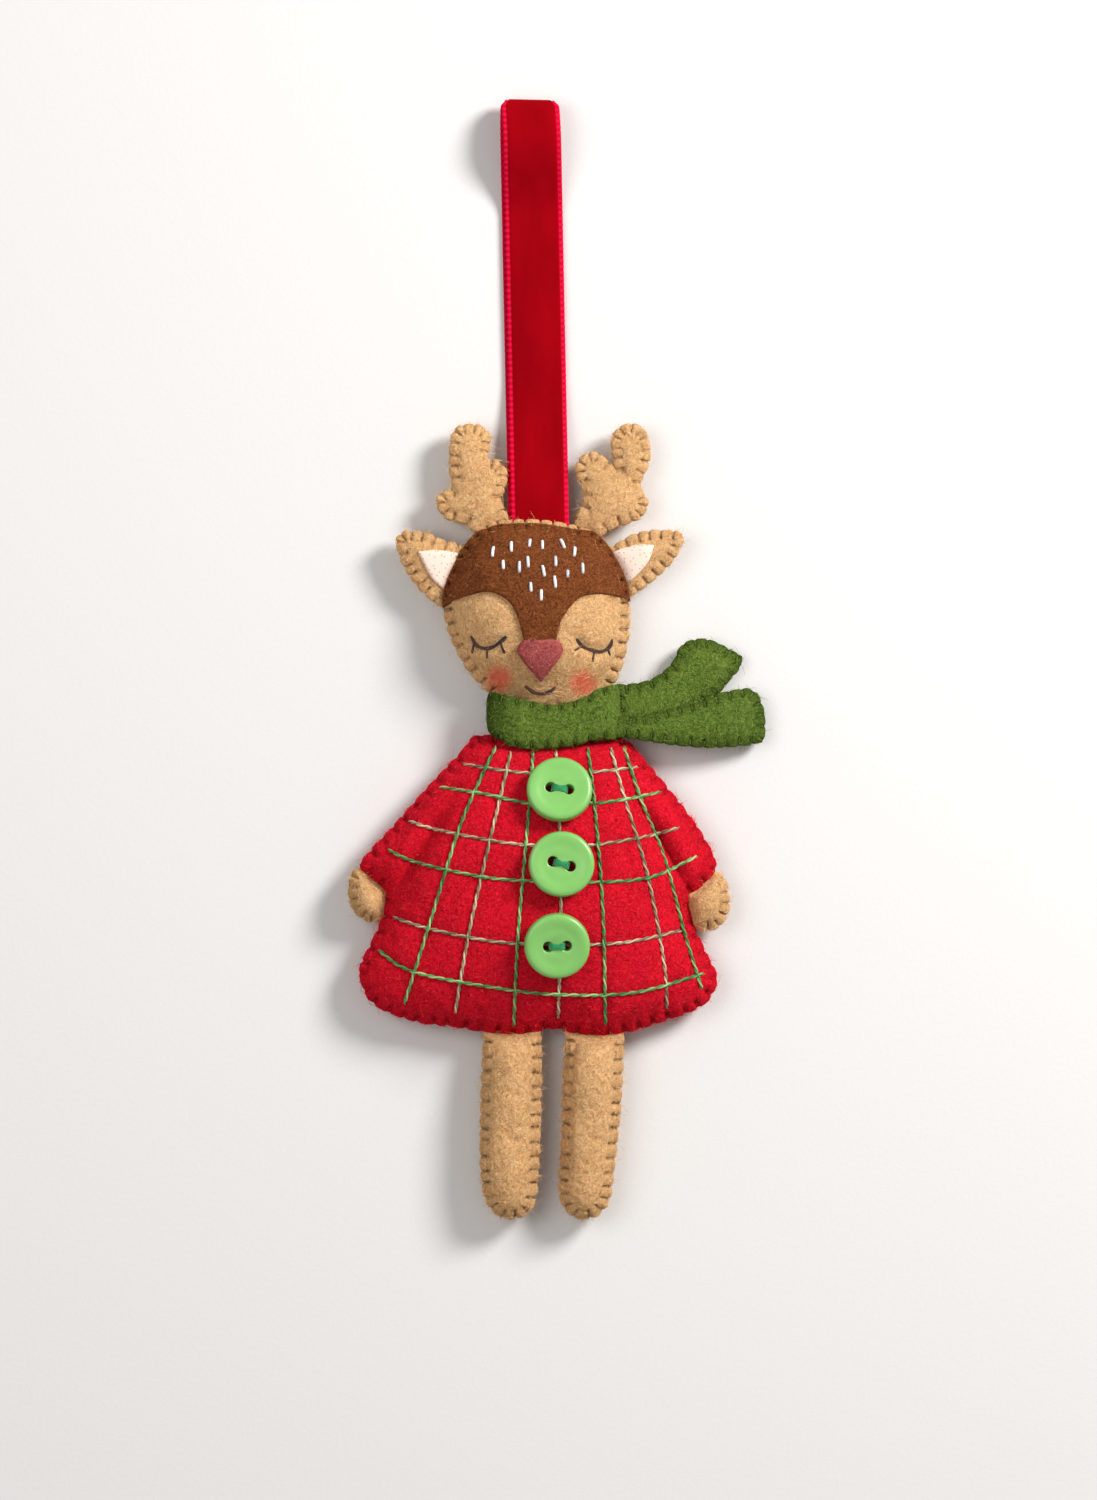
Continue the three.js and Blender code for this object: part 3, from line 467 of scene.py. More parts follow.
leg = {
    "swell": 3.9,
    "tuck": 2.5,
    "turn": 2.6,
    "outline": {
        "left": (
            (-475, 0),
            (-500, -199, -525, -529, -508, -759, -407, -916, -203, -986, 0, -1000, 220, -978, 373, -910,
             429, -759, 466, -507, 483, -193, 483, 0),
        ),
        "right": (
            (-483, 0),
            (-525, -266, -551, -591, -588, -759, -559, -899, -390, -980, -153, -1000, 85, -972, 254,
             -882, 339, -681, 441, -345, 492, 0),
        ),
    },
}
scarf = {
    "upper": (
        (0, 440),
        (115, 466, 230, 534, 345, 690, 425, 879, 460, 1052, 531, 1179, 646, 1229, 761, 1179, 991, 931),
        (965, 724, 894, 552, 796, 310),
        (646, 52, 425, -190, 204, -276, 0, -276),
    ),
    "lower": (
        (0, -103),
        (96, -112, 222, -43, 474, 121, 696, 300, 874, 379),
        (948, 276, 993, 0, 1003, -328, 989, -534),
        (837, -597, 622, -629, 430, -603, 207, -534, 0, -448),
    ),
}
plaid = {
    "step": 0.3,
    "ply": 0.17,
    "twist": 3.4,
    "lift": 0.2,
    "over": 0.42,
    "press": 0.42,
    "pressWidth": 0.85,
    "green": (
        (-155, 477, -202, 362, -261, 197, -339, -99, -413, -372),
        (-54, 461, -55, 400, -73, 138, -94, -148, -106, -444),
        (101, 471, 122, 257, 143, -64, 151, -438),
        (202, 474, 249, 306, 317, 105, 371, -132, 421, -322),
        (-313, 342, -187, 319, -58, 289, 111, 289, 197, 300, 307, 326),
        (-457, 135, -371, 92, -187, 47, -55, 35, 104, 30, 274, 46, 407, 115),
        (-485, -194, -389, -263, -158, -316, 25, -339, 233, -332, 427, -270),
    ),
    "beige": (
        (-114, 459, -144, 306, -187, 95, -233, -148, -270, -401),
        (11, 459, 22, 214, 26, -49, 19, -418),
        (165, 470, 204, 306, 268, 54, 314, -234, 323, -385),
        (-249, 418, -158, 400, -58, 388, 111, 391, 241, 408),
        (-399, 230, -321, 202, -158, 165, -44, 151, 104, 151, 268, 181, 357, 209),
        (-443, -86, -343, -122, -158, -164, 25, -174, 197, -168, 366, -128),
    ),
    "ease": 2,
    "overReach": (0.35, 1.3),
    "dive": 0.25,
    "tight": 0.95,
}


def unit(vectors):
    return vectors / np.maximum(np.linalg.norm(vectors, axis=1), 1e-9)[:, None]


def looped(outline):
    return np.vstack([outline, outline[:1]])


def travel(line):
    # how far each point is along a line
    return np.r_[0, np.cumsum(np.linalg.norm(np.diff(line, axis=0), axis=1))]


def pointsAt(places, line, lengths):
    return np.column_stack([np.interp(places, lengths, axis) for axis in line.T])


def spaced(curve, step):
    lengths = travel(curve)
    return pointsAt(np.linspace(0, lengths[-1], max(1, round(lengths[-1] / step)) + 1), curve, lengths)


def spacedLoop(outline, step=0.25):
    return spaced(looped(outline), step)[:-1]


def stepsFromEnd(line):
    steps = np.arange(len(line))
    return np.minimum(steps, steps[::-1])


def smoothCurve(points, step):
    points = np.array(points, float)
    padded = np.vstack([points[:1], points, points[-1:]])
    share = np.linspace(0, 1, 16, endpoint=False)[:, None]
    parts = []
    for before, start, end, after in zip(padded, padded[1:], padded[2:], padded[3:]):
        slope = (end - before) / 2
        bend = before - 2.5 * start + 2 * end - after / 2
        twist = (after - before) / 2 + 1.5 * (start - end)
        parts.append(start + slope * share + bend * share ** 2 + twist * share ** 3)
    return spaced(np.vstack([*parts, points[-1:]]), step)


def placed(curve, origin, size):
    return np.reshape(curve, (-1, 2)) / 1000 * size + origin


def closedCurve(stretches, origin, size, step=0.25):
    corner = stretches[-1][-2:]
    parts = []
    for stretch in stretches:
        parts.append(smoothCurve(placed((*corner, *stretch), origin, size), step)[:-1])
        corner = stretch[-2:]
    outline = np.vstack(parts)
    x, y = outline.T
    clockwise = np.sum(x * np.roll(y, -1) - y * np.roll(x, -1)) < 0
    return outline[::-1] if clockwise else outline


def sharesOn(node, stretches):
    # where the node's box puts the shares: their origin, and the length of a whole share
    low, high = (np.array(corner[:2]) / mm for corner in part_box(node))
    curve = closedCurve(stretches, np.zeros(2), np.ones(2), 0.01)
    size = (high - low) / np.ptp(curve, axis=0)
    return low - curve.min(0) * size, size


def edgeDistance(points, outline):
    # how far each point is from a closed outline, how far along it that is, and where
    lengths = travel(looped(outline))
    along = np.diff(looped(outline), axis=0)
    found = []
    for block in np.array_split(points, max(1, len(points) * len(outline) // 1500000)):
        offset = block[:, None] - outline
        share = np.clip((offset * along).sum(2) / np.maximum((along ** 2).sum(1), 1e-12), 0, 1)
        near = outline + along * share[..., None]
        distance = np.hypot(*(block[:, None] - near).transpose(2, 0, 1))
        best = distance.argmin(1)
        row = np.arange(len(block))
        travelled = lengths[best] + np.diff(lengths)[best] * share[row, best]
        found.append(np.column_stack([distance[row, best], travelled, near[row, best]]))
    found = np.vstack(found)
    return found[:, 0], found[:, 1], found[:, 2:]


def inside(points, outline):
    x, y = points[:, :1], points[:, 1:]
    ax, ay = outline.T
    bx, by = np.roll(outline, -1, axis=0).T
    crosses = (ay > y) != (by > y)
    slope = (bx - ax) / np.where(by == ay, 1, by - ay)
    return (crosses & (x < ax + slope * (y - ay))).sum(1) % 2 == 1


def inwardNormals(outline):
    x, y = unit(np.roll(outline, -1, axis=0) - np.roll(outline, 1, axis=0)).T
    return np.column_stack([-y, x])


def kept(outline, other, gap, within=False):
    # what is on the wrong side of the line at that gap outside the other outline moves to that line
    line = other - inwardNormals(other) * gap
    wrong = inside(outline, line) != within
    return np.where(wrong[:, None], edgeDistance(outline, line)[2], outline)


def smoothStep(value, low, high):
    share = np.clip((value - low) / (high - low), 0, 1)
    return share * share * (3 - 2 * share)


# Plan meshes: points in rings along the edge and an even lattice inside, joined in triangles

planning = {"ringClear": 0.93, "latticeClear": 0.55, "onEdge": 1e-3, "same": 1e-4}


def planMesh(outline, rings, spacing):
    normals = inwardNormals(outline)
    chosen = []
    for depth in rings:
        ring = outline + normals * depth
        clear = edgeDistance(ring, outline)[0] > planning["ringClear"] * depth
        chosen.append(ring[clear & inside(ring, outline)])
    low, high = outline.min(0), outline.max(0)
    columns = np.arange(low[0], high[0], spacing)
    rows = np.arange(low[1], high[1], spacing * math.sqrt(0.75))
    x, y = np.meshgrid(columns, rows)
    x = x + (np.arange(len(rows)) % 2)[:, None] * spacing / 2
    lattice = np.column_stack([x.ravel(), y.ravel()])
    lattice = lattice[inside(lattice, outline)]
    clear = rings[-1] + spacing * planning["latticeClear"]
    lattice = lattice[edgeDistance(lattice, outline)[0] > clear]
    points = np.vstack([outline, *chosen, lattice])
    count = len(outline)
    edges = [(i, (i + 1) % count) for i in range(count)]
    made = geometry.delaunay_2d_cdt([Vector(point) for point in points], edges, [], 1, planning["same"])
    points = np.array([tuple(point) for point in made[0]])
    faces = np.array([face for face in made[2] if len(face) == 3])
    ab = points[faces[:, 1]] - points[faces[:, 0]]
    ac = points[faces[:, 2]] - points[faces[:, 0]]
    turned = ab[:, 0] * ac[:, 1] - ab[:, 1] * ac[:, 0] < 0
    faces[turned] = faces[turned][:, ::-1]
    return points, faces


def rimOf(depth, travelled):
    # the points on the edge, in order
    rim = np.flatnonzero(depth < planning["onEdge"])
    return rim[np.argsort(travelled[rim])]


def swellOver(points, faces, held):
    # the height of a film that is held at the seam and pressed up from below, from 0 to 1
    count = len(points)
    ends, weights, area = [], [], np.zeros(count)
    for i in range(3):
        corner, left, right = faces[:, i], faces[:, i - 2], faces[:, i - 1]
        u, v = points[left] - points[corner], points[right] - points[corner]
        cross = np.abs(u[:, 0] * v[:, 1] - u[:, 1] * v[:, 0])
        weights.append(np.clip((u * v).sum(1) / np.maximum(cross, 1e-9), 0, 20) / 2)
        ends.append(np.column_stack([left, right]))
        area += np.bincount(corner, cross / 6, count)
    (first, second), weights = np.vstack(ends).T, np.concatenate(weights)
    whole = np.maximum(np.bincount(first, weights, count) + np.bincount(second, weights, count), 1e-9)
    film, rest = np.zeros(count), area * ~held
    step = rest / whole
    size = rest @ step
    for _ in range(900):
        flow = weights * (step[first] - step[second])
        pull = (np.bincount(first, flow, count) - np.bincount(second, flow, count)) * ~held
        share = size / (step @ pull)
        film += share * step
        rest = rest - share * pull
        eased = rest / whole
        after = rest @ eased
        if after < 1e-10 * area.sum():
            break
        step = eased + after / size * step
        size = after
    return film / film.max()


# Stuffed felt: two felts sewn edge to edge in blanket stitch, and swollen by the filling

stitching = {
    "depth": 1.25,
    "notch": 0.3,
    "bulge": 0.12,
    "groove": 0.55,
    "width": 0.15,
    "hump": 0.22,
    "valley": 0.14,
    "valleyWidth": 0.34,
    "valleyPlace": 0.2,
    "hole": 0.35,
    "holeSpread": 0.06,
    "uneven": 0.3,
    "thread": 0.15,
    "firmness": 1.5,
    # how far from a mate the grooves begin and are whole, and the stitches begin
    "clear": (0.35, 1.1),
    "clearStitch": 0.9,
    # what the filling doesn't lift: this far in, and farther at a groove
    "held": (0.5, 0.7),
    "standDepth": 0.9,
    "lip": (0.74, 0.2),
    "least": 0.15,
    "humpFade": (0.6, 1.5),
    "grooveFade": (1.15, 1.65),
    "paintedShadeFade": (0.9, 1.5),
    "shadeDepth": 2.4,
    "sink": 0.8,
    "squeeze": 0.35,
    "shares": (0, 0.05, 0.11, 0.19, 0.32, 0.5, 0.68, 0.81, 0.89, 0.95),
    "rings": (0.22, 0.48, 0.78, 1.08, 1.38, 1.75),
    # how far each row of the side stands out, and at what share of the edge's height
    "side": ((0.1, 0.55), (0.12, 0.25), (-0.06, 0), (0.12, -0.25), (0.1, -0.55)),
    # how deep in each point of a stitch is, and how far above the felt
    "stations": ((1.34, -0.3), (1.25, 0), (0.95, 0.1), (0.6, 0.1), (0.42, 0.06)),
    "over": (0.26, 0.35),
}
fuzz = {
    "thread": 0.042,
    "length": (0.7, 2.3),
    "lengthBias": 1.6,
    "curl": 0.3,
    "rise": 0.5,
    "riseBias": 3,
    "arc": 1.5,
    "taper": 0.65,
    "rings": 5,
    # none grow under this height, and fewer on faces that look down
    "floor": 0.6,
    "down": -0.2,
    "downShare": 0.35,
    "low": 0.04,
}
puffing = {"scale": 10, "frames": 20, "quality": 5, "mass": 0.3, "pressure": 4, "cap": 0.7, "slack": -0.03}


def meshPiece(name, vertices, faces, material):
    mesh = bpy.data.meshes.new(name)
    mesh.from_pydata((np.asarray(vertices) * mm).tolist(), [], [list(map(int, face)) for face in faces])
    mesh.materials.append(material)
    mesh.shade_smooth()
    piece = bpy.data.objects.new(name, mesh)
    bpy.context.collection.objects.link(piece)
    return piece


def store(piece, name, values):
    attribute = piece.data.attributes.new(name, "FLOAT", "POINT")
    attribute.data.foreach_set("value", values.astype(np.float32))


def puffed(name, vertices, faces, held):
    # Cloth under pressure, at ten times its size, with the seam held
    scale = puffing["scale"]
    piece = meshPiece(name + "Puffing", vertices * scale, faces, None)
    group = piece.vertex_groups.new(name="held")
    group.add(np.flatnonzero(held).tolist(), 1, "REPLACE")
    cloth = piece.modifiers.new("cloth", "CLOTH")
    cloth.settings.quality = puffing["quality"]
    cloth.settings.mass = puffing["mass"]
    cloth.settings.vertex_group_mass = "held"
    cloth.settings.use_pressure = True
    cloth.settings.uniform_pressure_force = puffing["pressure"]
    cloth.settings.shrink_min = puffing["slack"]
    cloth.settings.effector_weights.gravity = 0
    cloth.point_cache.frame_end = puffing["frames"]
    for number in range(1, puffing["frames"] + 1):
        bpy.context.scene.frame_set(number)
    shaped = piece.evaluated_get(bpy.context.evaluated_depsgraph_get())
    moved = np.array([tuple(vertex.co) for vertex in shaped.data.vertices]) / mm / scale
    mesh = piece.data
    bpy.data.objects.remove(piece)
    bpy.data.meshes.remove(mesh)
    bpy.context.scene.frame_set(1)
    shift = moved - vertices
    distance = np.linalg.norm(shift, axis=1)
    return shift * (np.minimum(distance, puffing["cap"]) / np.maximum(distance, 1e-9))[:, None]


def valueAt(value, plan):
    return value(plan) if callable(value) else np.full(len(plan), float(value))


def stuffed(name, outline, form, material):
    # form: half the felts' thickness at the edge, and the swells in front and behind, as numbers or
    # functions of the place; mates are outlines that it is sewn against
    form = {"seam": seamHeight, "mates": [], "grooveWidth": stitching["width"], "fullness": 0.6,
            "scallop": 1, "valley": stitching["valley"], "floor": floorGap, "puff": True, "pinch": 1,
            "shade": 0, "bend": lambda flat: flat, **form}
    lengths = travel(looped(outline))
    stitches = round(lengths[-1] / form["pitch"])
    pitch = lengths[-1] / stitches
    chance = np.random.default_rng(sum(map(ord, name)))
    starts = np.arange(stitches) + stitching["uneven"] * (chance.random(stitches) - 0.5)
    strides = np.diff(np.r_[starts, starts[0] + stitches])
    places = (starts[:, None] + strides[:, None] * np.array(stitching["shares"])).ravel() * pitch
    cut = pointsAt(places % lengths[-1], looped(outline), lengths)
    points, faces = planMesh(cut, stitching["rings"], form["spacing"])
    depth, travelled, near = edgeDistance(points, cut)
    reached = travel(looped(cut))[::len(stitching["shares"])]
    turn = np.interp(travelled, reached, np.arange(stitches + 1))
    chances = chance.random(stitches)[np.round(turn).astype(int) % stitches]
    firm = 1 - stitching["firmness"] * stitching["uneven"] * chances
    away = np.abs(turn - np.round(turn)) * pitch
    free = np.ones(len(points))
    for mate in form["mates"]:
        free *= smoothStep(edgeDistance(near, mate)[0], *stitching["clear"])
    groove = firm * free * np.exp(-(away / form["grooveWidth"]) ** 2)
    between = free * np.sin(np.pi * turn) ** 2
    reach, more = stitching["held"]
    held = depth < reach + more * groove * (depth < stitching["depth"])
    rise = swellOver(points, faces, held) ** form["fullness"]
    outward = unit(np.where(depth[:, None] > planning["onEdge"], near - points, 0))
    rim = rimOf(depth, travelled)
    outward[rim] = -inwardNormals(points[rim])
    stand = form["scallop"] * (stitching["bulge"] * between - stitching["notch"] * groove)
    plan = points + outward * (stand * (1 - smoothStep(depth, 0, stitching["standDepth"])))[:, None]
    atEdge, width = stitching["lip"]
    lip = form["edge"] * (1 - (1 - atEdge) * np.exp(-depth / width))
    inner = depth - stitching["depth"]
    holes = np.exp(-(inner ** 2 + away ** 2) / stitching["holeSpread"]) * free
    valley = free * np.exp(-((inner - stitching["valleyPlace"]) / stitching["valleyWidth"]) ** 2)
    margin = stitching["hump"] * between * (1 - smoothStep(depth, *stitching["humpFade"]))
    margin -= stitching["groove"] * groove * (1 - smoothStep(depth, *stitching["grooveFade"]))
    margin -= stitching["hole"] * holes + form["valley"] * valley
    margin = lip + np.maximum(margin * form["scallop"], form["edge"] * stitching["least"] - lip)
    frontHeight = form["seam"] + margin + valueAt(form["swell"], plan) * rise
    backHeight = form["seam"] - margin - valueAt(form["backSwell"], plan) * rise
    rows = [np.column_stack([plan, frontHeight]),
            np.column_stack([plan, np.maximum(backHeight, form["floor"])])]
    for out, share in stitching["side"]:
        wall = plan[rim] + outward[rim] * (out * (1 - stitching["sink"] * groove[rim]))[:, None]
        height = form["edge"] * share * (1 - stitching["squeeze"] * groove[rim])
        rows.append(np.column_stack([wall, form["seam"] + height]))
    count, around = len(points), len(rim)
    sides = [2 * count + around * i + np.arange(around) for i in range(len(stitching["side"]))]
    loops = [rim, *sides, count + rim]
    shell = [*faces, *(faces[:, ::-1] + count)]
    for upper, lower in zip(loops, loops[1:]):
        shell += [*np.column_stack([upper, lower, np.roll(lower, -1), np.roll(upper, -1)])]
    vertices = np.vstack(rows)
    if form["puff"]:
        still = np.r_[held, held, np.ones(around * len(sides), bool)]
        shift = puffed(name, vertices, shell, still)
        shift[count:2 * count, 2] = np.minimum(shift[count:2 * count, 2], 0)
        vertices += shift
        vertices[:, 2] = np.maximum(vertices[:, 2], form["floor"])
    piece = meshPiece(name, form["bend"](vertices), shell, material)
    # painted shade: darker in the stitch grooves and holes, and near the edge by the form's shade
    pinch = (groove * (1 - smoothStep(depth, *stitching["paintedShadeFade"])) + holes) * form["pinch"]
    pinch = pinch + form["shade"] * (1 - smoothStep(depth, 0, stitching["shadeDepth"]))
    side = np.tile(groove[rim] * form["pinch"] + form["shade"], len(sides))
    store(piece, "pinch", np.clip(np.r_[pinch, pinch, side], 0, 1))
    surfaces = {}
    for side, first, order in (("front", 0, 1), ("back", count, -1)):
        corners = [Vector(corner) for corner in vertices[first:first + count]]
        surfaces[side] = BVHTree.FromPolygons(corners, faces[:, ::order].tolist())
    marks = np.arange(stitches) * len(stitching["shares"])
    for mate in form["mates"]:
        marks = marks[edgeDistance(cut[marks], mate)[0] > stitching["clearStitch"]]
    return {**form, **surfaces, "piece": piece, "cut": cut, "normals": inwardNormals(cut), "marks": marks}


rayHeight = 60


def onto(surface, x, y, side="front"):
    up = 1 if side == "front" else -1
    place, normal, _, _ = surface[side].ray_cast(Vector((x, y, rayHeight * up)), Vector((0, 0, -up)))
    if place is None:
        place, normal, _, _ = surface[side].find_nearest(Vector((x, y, 6)))
    return place, normal * math.copysign(1, normal.z * up)


def groundUnder(surface, line):
    return np.array([onto(surface, x, y)[0].z for x, y in line])


def tubes(name, paths, radius, material, sides=1):
    # one mesh of round threads; a path's points may carry a fourth number, the share of the radius
    curve = bpy.data.curves.new(name, "CURVE")
    curve.dimensions = "3D"
    curve.bevel_depth = radius * mm
    curve.bevel_resolution = sides
    curve.use_fill_caps = True
    for path in paths:
        line = curve.splines.new("POLY")
        line.points.add(len(path) - 1)
        for point, place in zip(line.points, path):
            point.co = (place[0] * mm, place[1] * mm, place[2] * mm, 1)
            point.radius = place[3] if len(place) > 3 else 1
    piece = bpy.data.objects.new(name, curve)
    bpy.context.collection.objects.link(piece)
    select(piece)
    bpy.ops.object.convert(target="MESH")
    piece = bpy.context.object
    piece.name = name
    piece.data.materials.clear()
    piece.data.materials.append(material)
    piece.data.shade_smooth()
    return piece


def edgeStitches(name, form, material):
    # each stitch comes out of its hole, goes over the edge and into the hole behind
    paths = []
    depthOver, heightOver = stitching["over"]
    for mark in form["marks"]:
        start, inward = form["cut"][mark], form["normals"][mark]
        halves = []
        for side, up in (("front", 1), ("back", -1)):
            half = []
            for depth, lift in stitching["stations"]:
                place = start + inward * depth
                half.append((*place, onto(form, *place, side)[0].z + lift * up))
            half.append((*(start + inward * depthOver), form["seam"] + form["edge"] * heightOver * up))
            halves.append(half)
        path = form["bend"](np.array(halves[0] + halves[1][::-1]))
        paths.append(np.column_stack([path[:, :2], np.maximum(path[:, 2], stitching["thread"])]))
    return tubes(name, paths, stitching["thread"], material)


def fuzzOn(piece, perArea, colour):
    # loose fibres that lie on a felt, most of them flat, each a thin tapered strand of three sides
    chance = np.random.default_rng(sum(map(ord, piece.name)))
    mesh = piece.data
    mesh.calc_loop_triangles()
    corners = np.array([tuple(vertex.co) for vertex in mesh.vertices]) / mm
    leans = np.array([tuple(vertex.normal) for vertex in mesh.vertices])
    triangles = np.array([tuple(triangle.vertices) for triangle in mesh.loop_triangles])
    a, b, c = corners[triangles].transpose(1, 0, 2)
    area = np.linalg.norm(np.cross(b - a, c - a), axis=1) / 2
    looksDown = leans[triangles[:, 0], 2] <= fuzz["down"]
    area *= (a[:, 2] > fuzz["floor"]) * np.where(looksDown, fuzz["downShare"], 1)
    count = int(area.sum() * perArea)
    chosen = triangles[chance.choice(len(area), count, p=area / area.sum())]
    shares = chance.dirichlet((1, 1, 1), count)[:, :, None]
    start = (corners[chosen] * shares).sum(1)
    normal = unit((leans[chosen] * shares).sum(1))
    along = unit(np.cross(normal, chance.normal(size=(count, 3))))
    aside = np.cross(normal, along)
    low, high = fuzz["length"]
    length = (low + (high - low) * chance.random(count) ** fuzz["lengthBias"])[:, None]
    curl = chance.normal(0, fuzz["curl"], count)[:, None]
    lifted = (fuzz["rise"] * chance.random(count) ** fuzz["riseBias"])[:, None]
    rings = []
    for share in np.linspace(0, 1, fuzz["rings"]):
        middle = start + length * (along * share + aside * curl * share * share)
        buried = fuzz["thread"] * (1 - 2 * (share == 0))
        middle = middle + normal * (length * lifted * share ** fuzz["arc"] + buried)
        for turn in (0.25, 0.583, 0.917):
            c, s = math.cos(turn * math.tau), math.sin(turn * math.tau)
            radius = fuzz["thread"] * (1 - fuzz["taper"] * share)
            rings.append(middle + radius * (aside * c + normal * s))
    vertices = np.stack(rings, axis=1)
    vertices[:, :, 2] = np.maximum(vertices[:, :, 2], fuzz["low"])
    faces = []
    for ring in range(fuzz["rings"] - 1):
        for side in range(3):
            first, second = ring * 3 + side, ring * 3 + (side + 1) % 3
            faces.append((first, second, second + 3, first + 3))
    faces = np.array(faces)[None] + np.arange(count)[:, None, None] * (fuzz["rings"] * 3)
    return meshPiece(piece.name + "_fibres", vertices.reshape(-1, 3), faces.reshape(-1, 4), fuzzes[colour])


def keep(piece, slotName, *nodes):
    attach(piece, "root")
    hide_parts(*nodes)


def bend(piece, body, slotName, start, end):
    start, end = (tuple(part * mm for part in place) for place in (start, end))
    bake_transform(piece)
    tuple(start)
    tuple(end)


# Floor and sky

def makeFloor():
    finish = Finish("paper")
    where = finish.place()
    grain = finish.noise(where, 0.8, 3, 0.6)
    darker = tuple(0.94 * part for part in studio["floorColour"])
    pale = finish.mixed(grain * 0.25, studio["floorColour"], darker)
    material = finish.finished((grain, 0.03), Base_Color=pale, Roughness=0.9, Specular_IOR_Level=0.1)
    # far from the doll the camera sees the paper fade to white
    offset = finish.vector("SUBTRACT", where, (*(part * mm for part in view["middle"]), 0))
    away = finish.vector("LENGTH", offset, output="Value")
    near, far = studio["floorFade"]
    seen = finish.node("ShaderNodeLightPath", output="Is Camera Ray")
    white = finish.node("ShaderNodeEmission", inputs={"Color": (1, 1, 1), "Strength": 1})
    share = away.between(near * mm, far * mm) * seen
    paper = Wire(finish.tree, finish.surface.outputs["BSDF"])
    faded = finish.node("ShaderNodeMixShader", inputs={0: share, 1: paper, 2: white})
    finish.put(finish.tree.nodes["Material Output"].inputs["Surface"], faded)
    select()
    bpy.ops.mesh.primitive_plane_add(size=studio["floorSize"] * mm)
    floor = bpy.context.object
    floor.name = "floor"
    floor.data.materials.append(material)


def makeSky():
    # a soft light for the object, and plain white where the sky itself is seen or mirrored
    sky = bpy.data.worlds.new("sky")
    sky.use_nodes = True
    tree = sky.node_tree
    tree.nodes["Background"].inputs["Color"].default_value = (1, 1, 1, 1)
    rays = tree.nodes.new("ShaderNodeLightPath")
    seen = Wire(tree, rays.outputs["Is Camera Ray"])
    for kind in ("Is Glossy Ray", "Is Transmission Ray"):
        seen = seen.highest(Wire(tree, rays.outputs[kind]))
    strength = seen * (1 - studio["skyStrength"]) + studio["skyStrength"]
    tree.links.new(strength.socket, tree.nodes["Background"].inputs["Strength"])
    bpy.context.scene.world = sky


makeFloor()
makeSky()
print("floor and sky")


# Other finishes

flossLooks = {
    "greenLight": {"base": (0.44, 0.66, 0.26), "dark": (0.05, 0.3, 0.06)},
    "greenDark": {"base": (0.08, 0.36, 0.08), "dark": (0.012, 0.11, 0.02)},
    "beigeLight": {"base": (0.74, 0.66, 0.44), "dark": (0.36, 0.3, 0.16)},
    "beigeDark": {"base": (0.38, 0.31, 0.17), "dark": (0.11, 0.1, 0.045)},
    "whiteThread": {"base": (0.85, 0.86, 0.88), "dark": (0.55, 0.6, 0.66)},
    "faceThread": {"base": (0.075, 0.028, 0.015), "dark": (0.02, 0.008, 0.005)},
    "mouthThread": {"base": (0.17, 0.06, 0.03), "dark": (0.06, 0.022, 0.012)},
    "buttonThread": {"base": (0.04, 0.5, 0.17), "dark": (0.006, 0.2, 0.06)},
}


def makeFloss(name, look):
    finish = Finish(name)
    where = finish.place()
    along = finish.noise(where, 7, 1)
    hairs = finish.noise(where, 0.12, 2, 0.7)
    colour = finish.mixed((along * 0.72 + hairs * 0.28).between(0.4, 0.6), look["dark"], look["base"])
    return finish.finished((hairs, 0.05), Base_Color=colour, Roughness=0.62, Sheen_Weight=0.2,
                           Specular_IOR_Level=0.3)


def makeFuzz(name, look):
    finish = Finish(name + "Fibres")
    patch = finish.noise(finish.place(), 0.5, 1)
    colour = finish.mixed(patch.between(0.38, 0.44), look["dark"], look["base"])
    colour = finish.mixed(patch.between(0.44, 0.56), colour, look["light"])
    colour = finish.mixed(patch.between(0.56, 0.7) * look["flecks"], colour, look["fleck"])
    return finish.finished(Base_Color=colour, Roughness=0.85, Sheen_Weight=0.2, Sheen_Tint=look["light"],
                           Specular_IOR_Level=0.1)


def makeButtonPlastic():
    finish = Finish("greenPlastic")
    where = finish.place()
    cloud = finish.noise(where, 4, 2)
    dust = finish.noise(where, 0.3, 2, 0.7)
    colour = finish.mixed(cloud, (0.165, 0.45, 0.085), (0.22, 0.505, 0.125))
    return finish.finished((cloud, 0.02), Base_Color=colour, Roughness=0.26 + dust * 0.12,
                           Coat_Weight=0.15, Coat_Roughness=0.12)


def makePaleCotton():
    finish = Finish("paleCotton")
    where = finish.place()
    weave = finish.noise(where, 0.2, 2, 0.6)
    settings = {"feature": "F1", "voronoi_dimensions": "2D"}
    inputs = {"Vector": where, "Scale": 1 / (1.05 * mm), "Randomness": 0.9}
    spot = finish.node("ShaderNodeTexVoronoi", settings, inputs, output="Distance")
    speck = 1 - spot.between(0.07, 0.16)
    colour = finish.mixed(weave, (0.9, 0.66, 0.53), (0.97, 0.78, 0.67))
    colour = finish.mixed(speck * 0.75, colour, (0.5, 0.2, 0.09))
    return finish.finished((weave, 0.05), Base_Color=colour, Roughness=0.9, Sheen_Weight=0.15,
                           Specular_IOR_Level=0.15)


felts = {name: makeFelt(name, look) for name, look in feltLooks.items()}
fuzzes = {name: makeFuzz(name, look) for name, look in feltLooks.items()}
floss = {name: makeFloss(name, look) for name, look in flossLooks.items()}
buttonPlastic = makeButtonPlastic()
paleCotton = makePaleCotton()
print("finishes")


# Coat, head, limbs

seamHeight = 4.2
gaps = {"leg": 0.03, "limb": 0.06, "lining": 0.12}
coatPlace = sharesOn("coat_front_felt", coat["outline"])
headPlace = sharesOn("head_front_felt", head["outline"])
coatOutline = closedCurve(coat["outline"], *coatPlace)
atHem = coatOutline[:, 1] < coatOutline[:, 1].min() + coat["hemReach"]
coatOutline[:, 1] += coat["hemLift"] * atHem * np.exp(-(coatOutline[:, 0] / coat["hemSpread"]) ** 4)
headOutline = closedCurve(head["outline"], *headPlace)


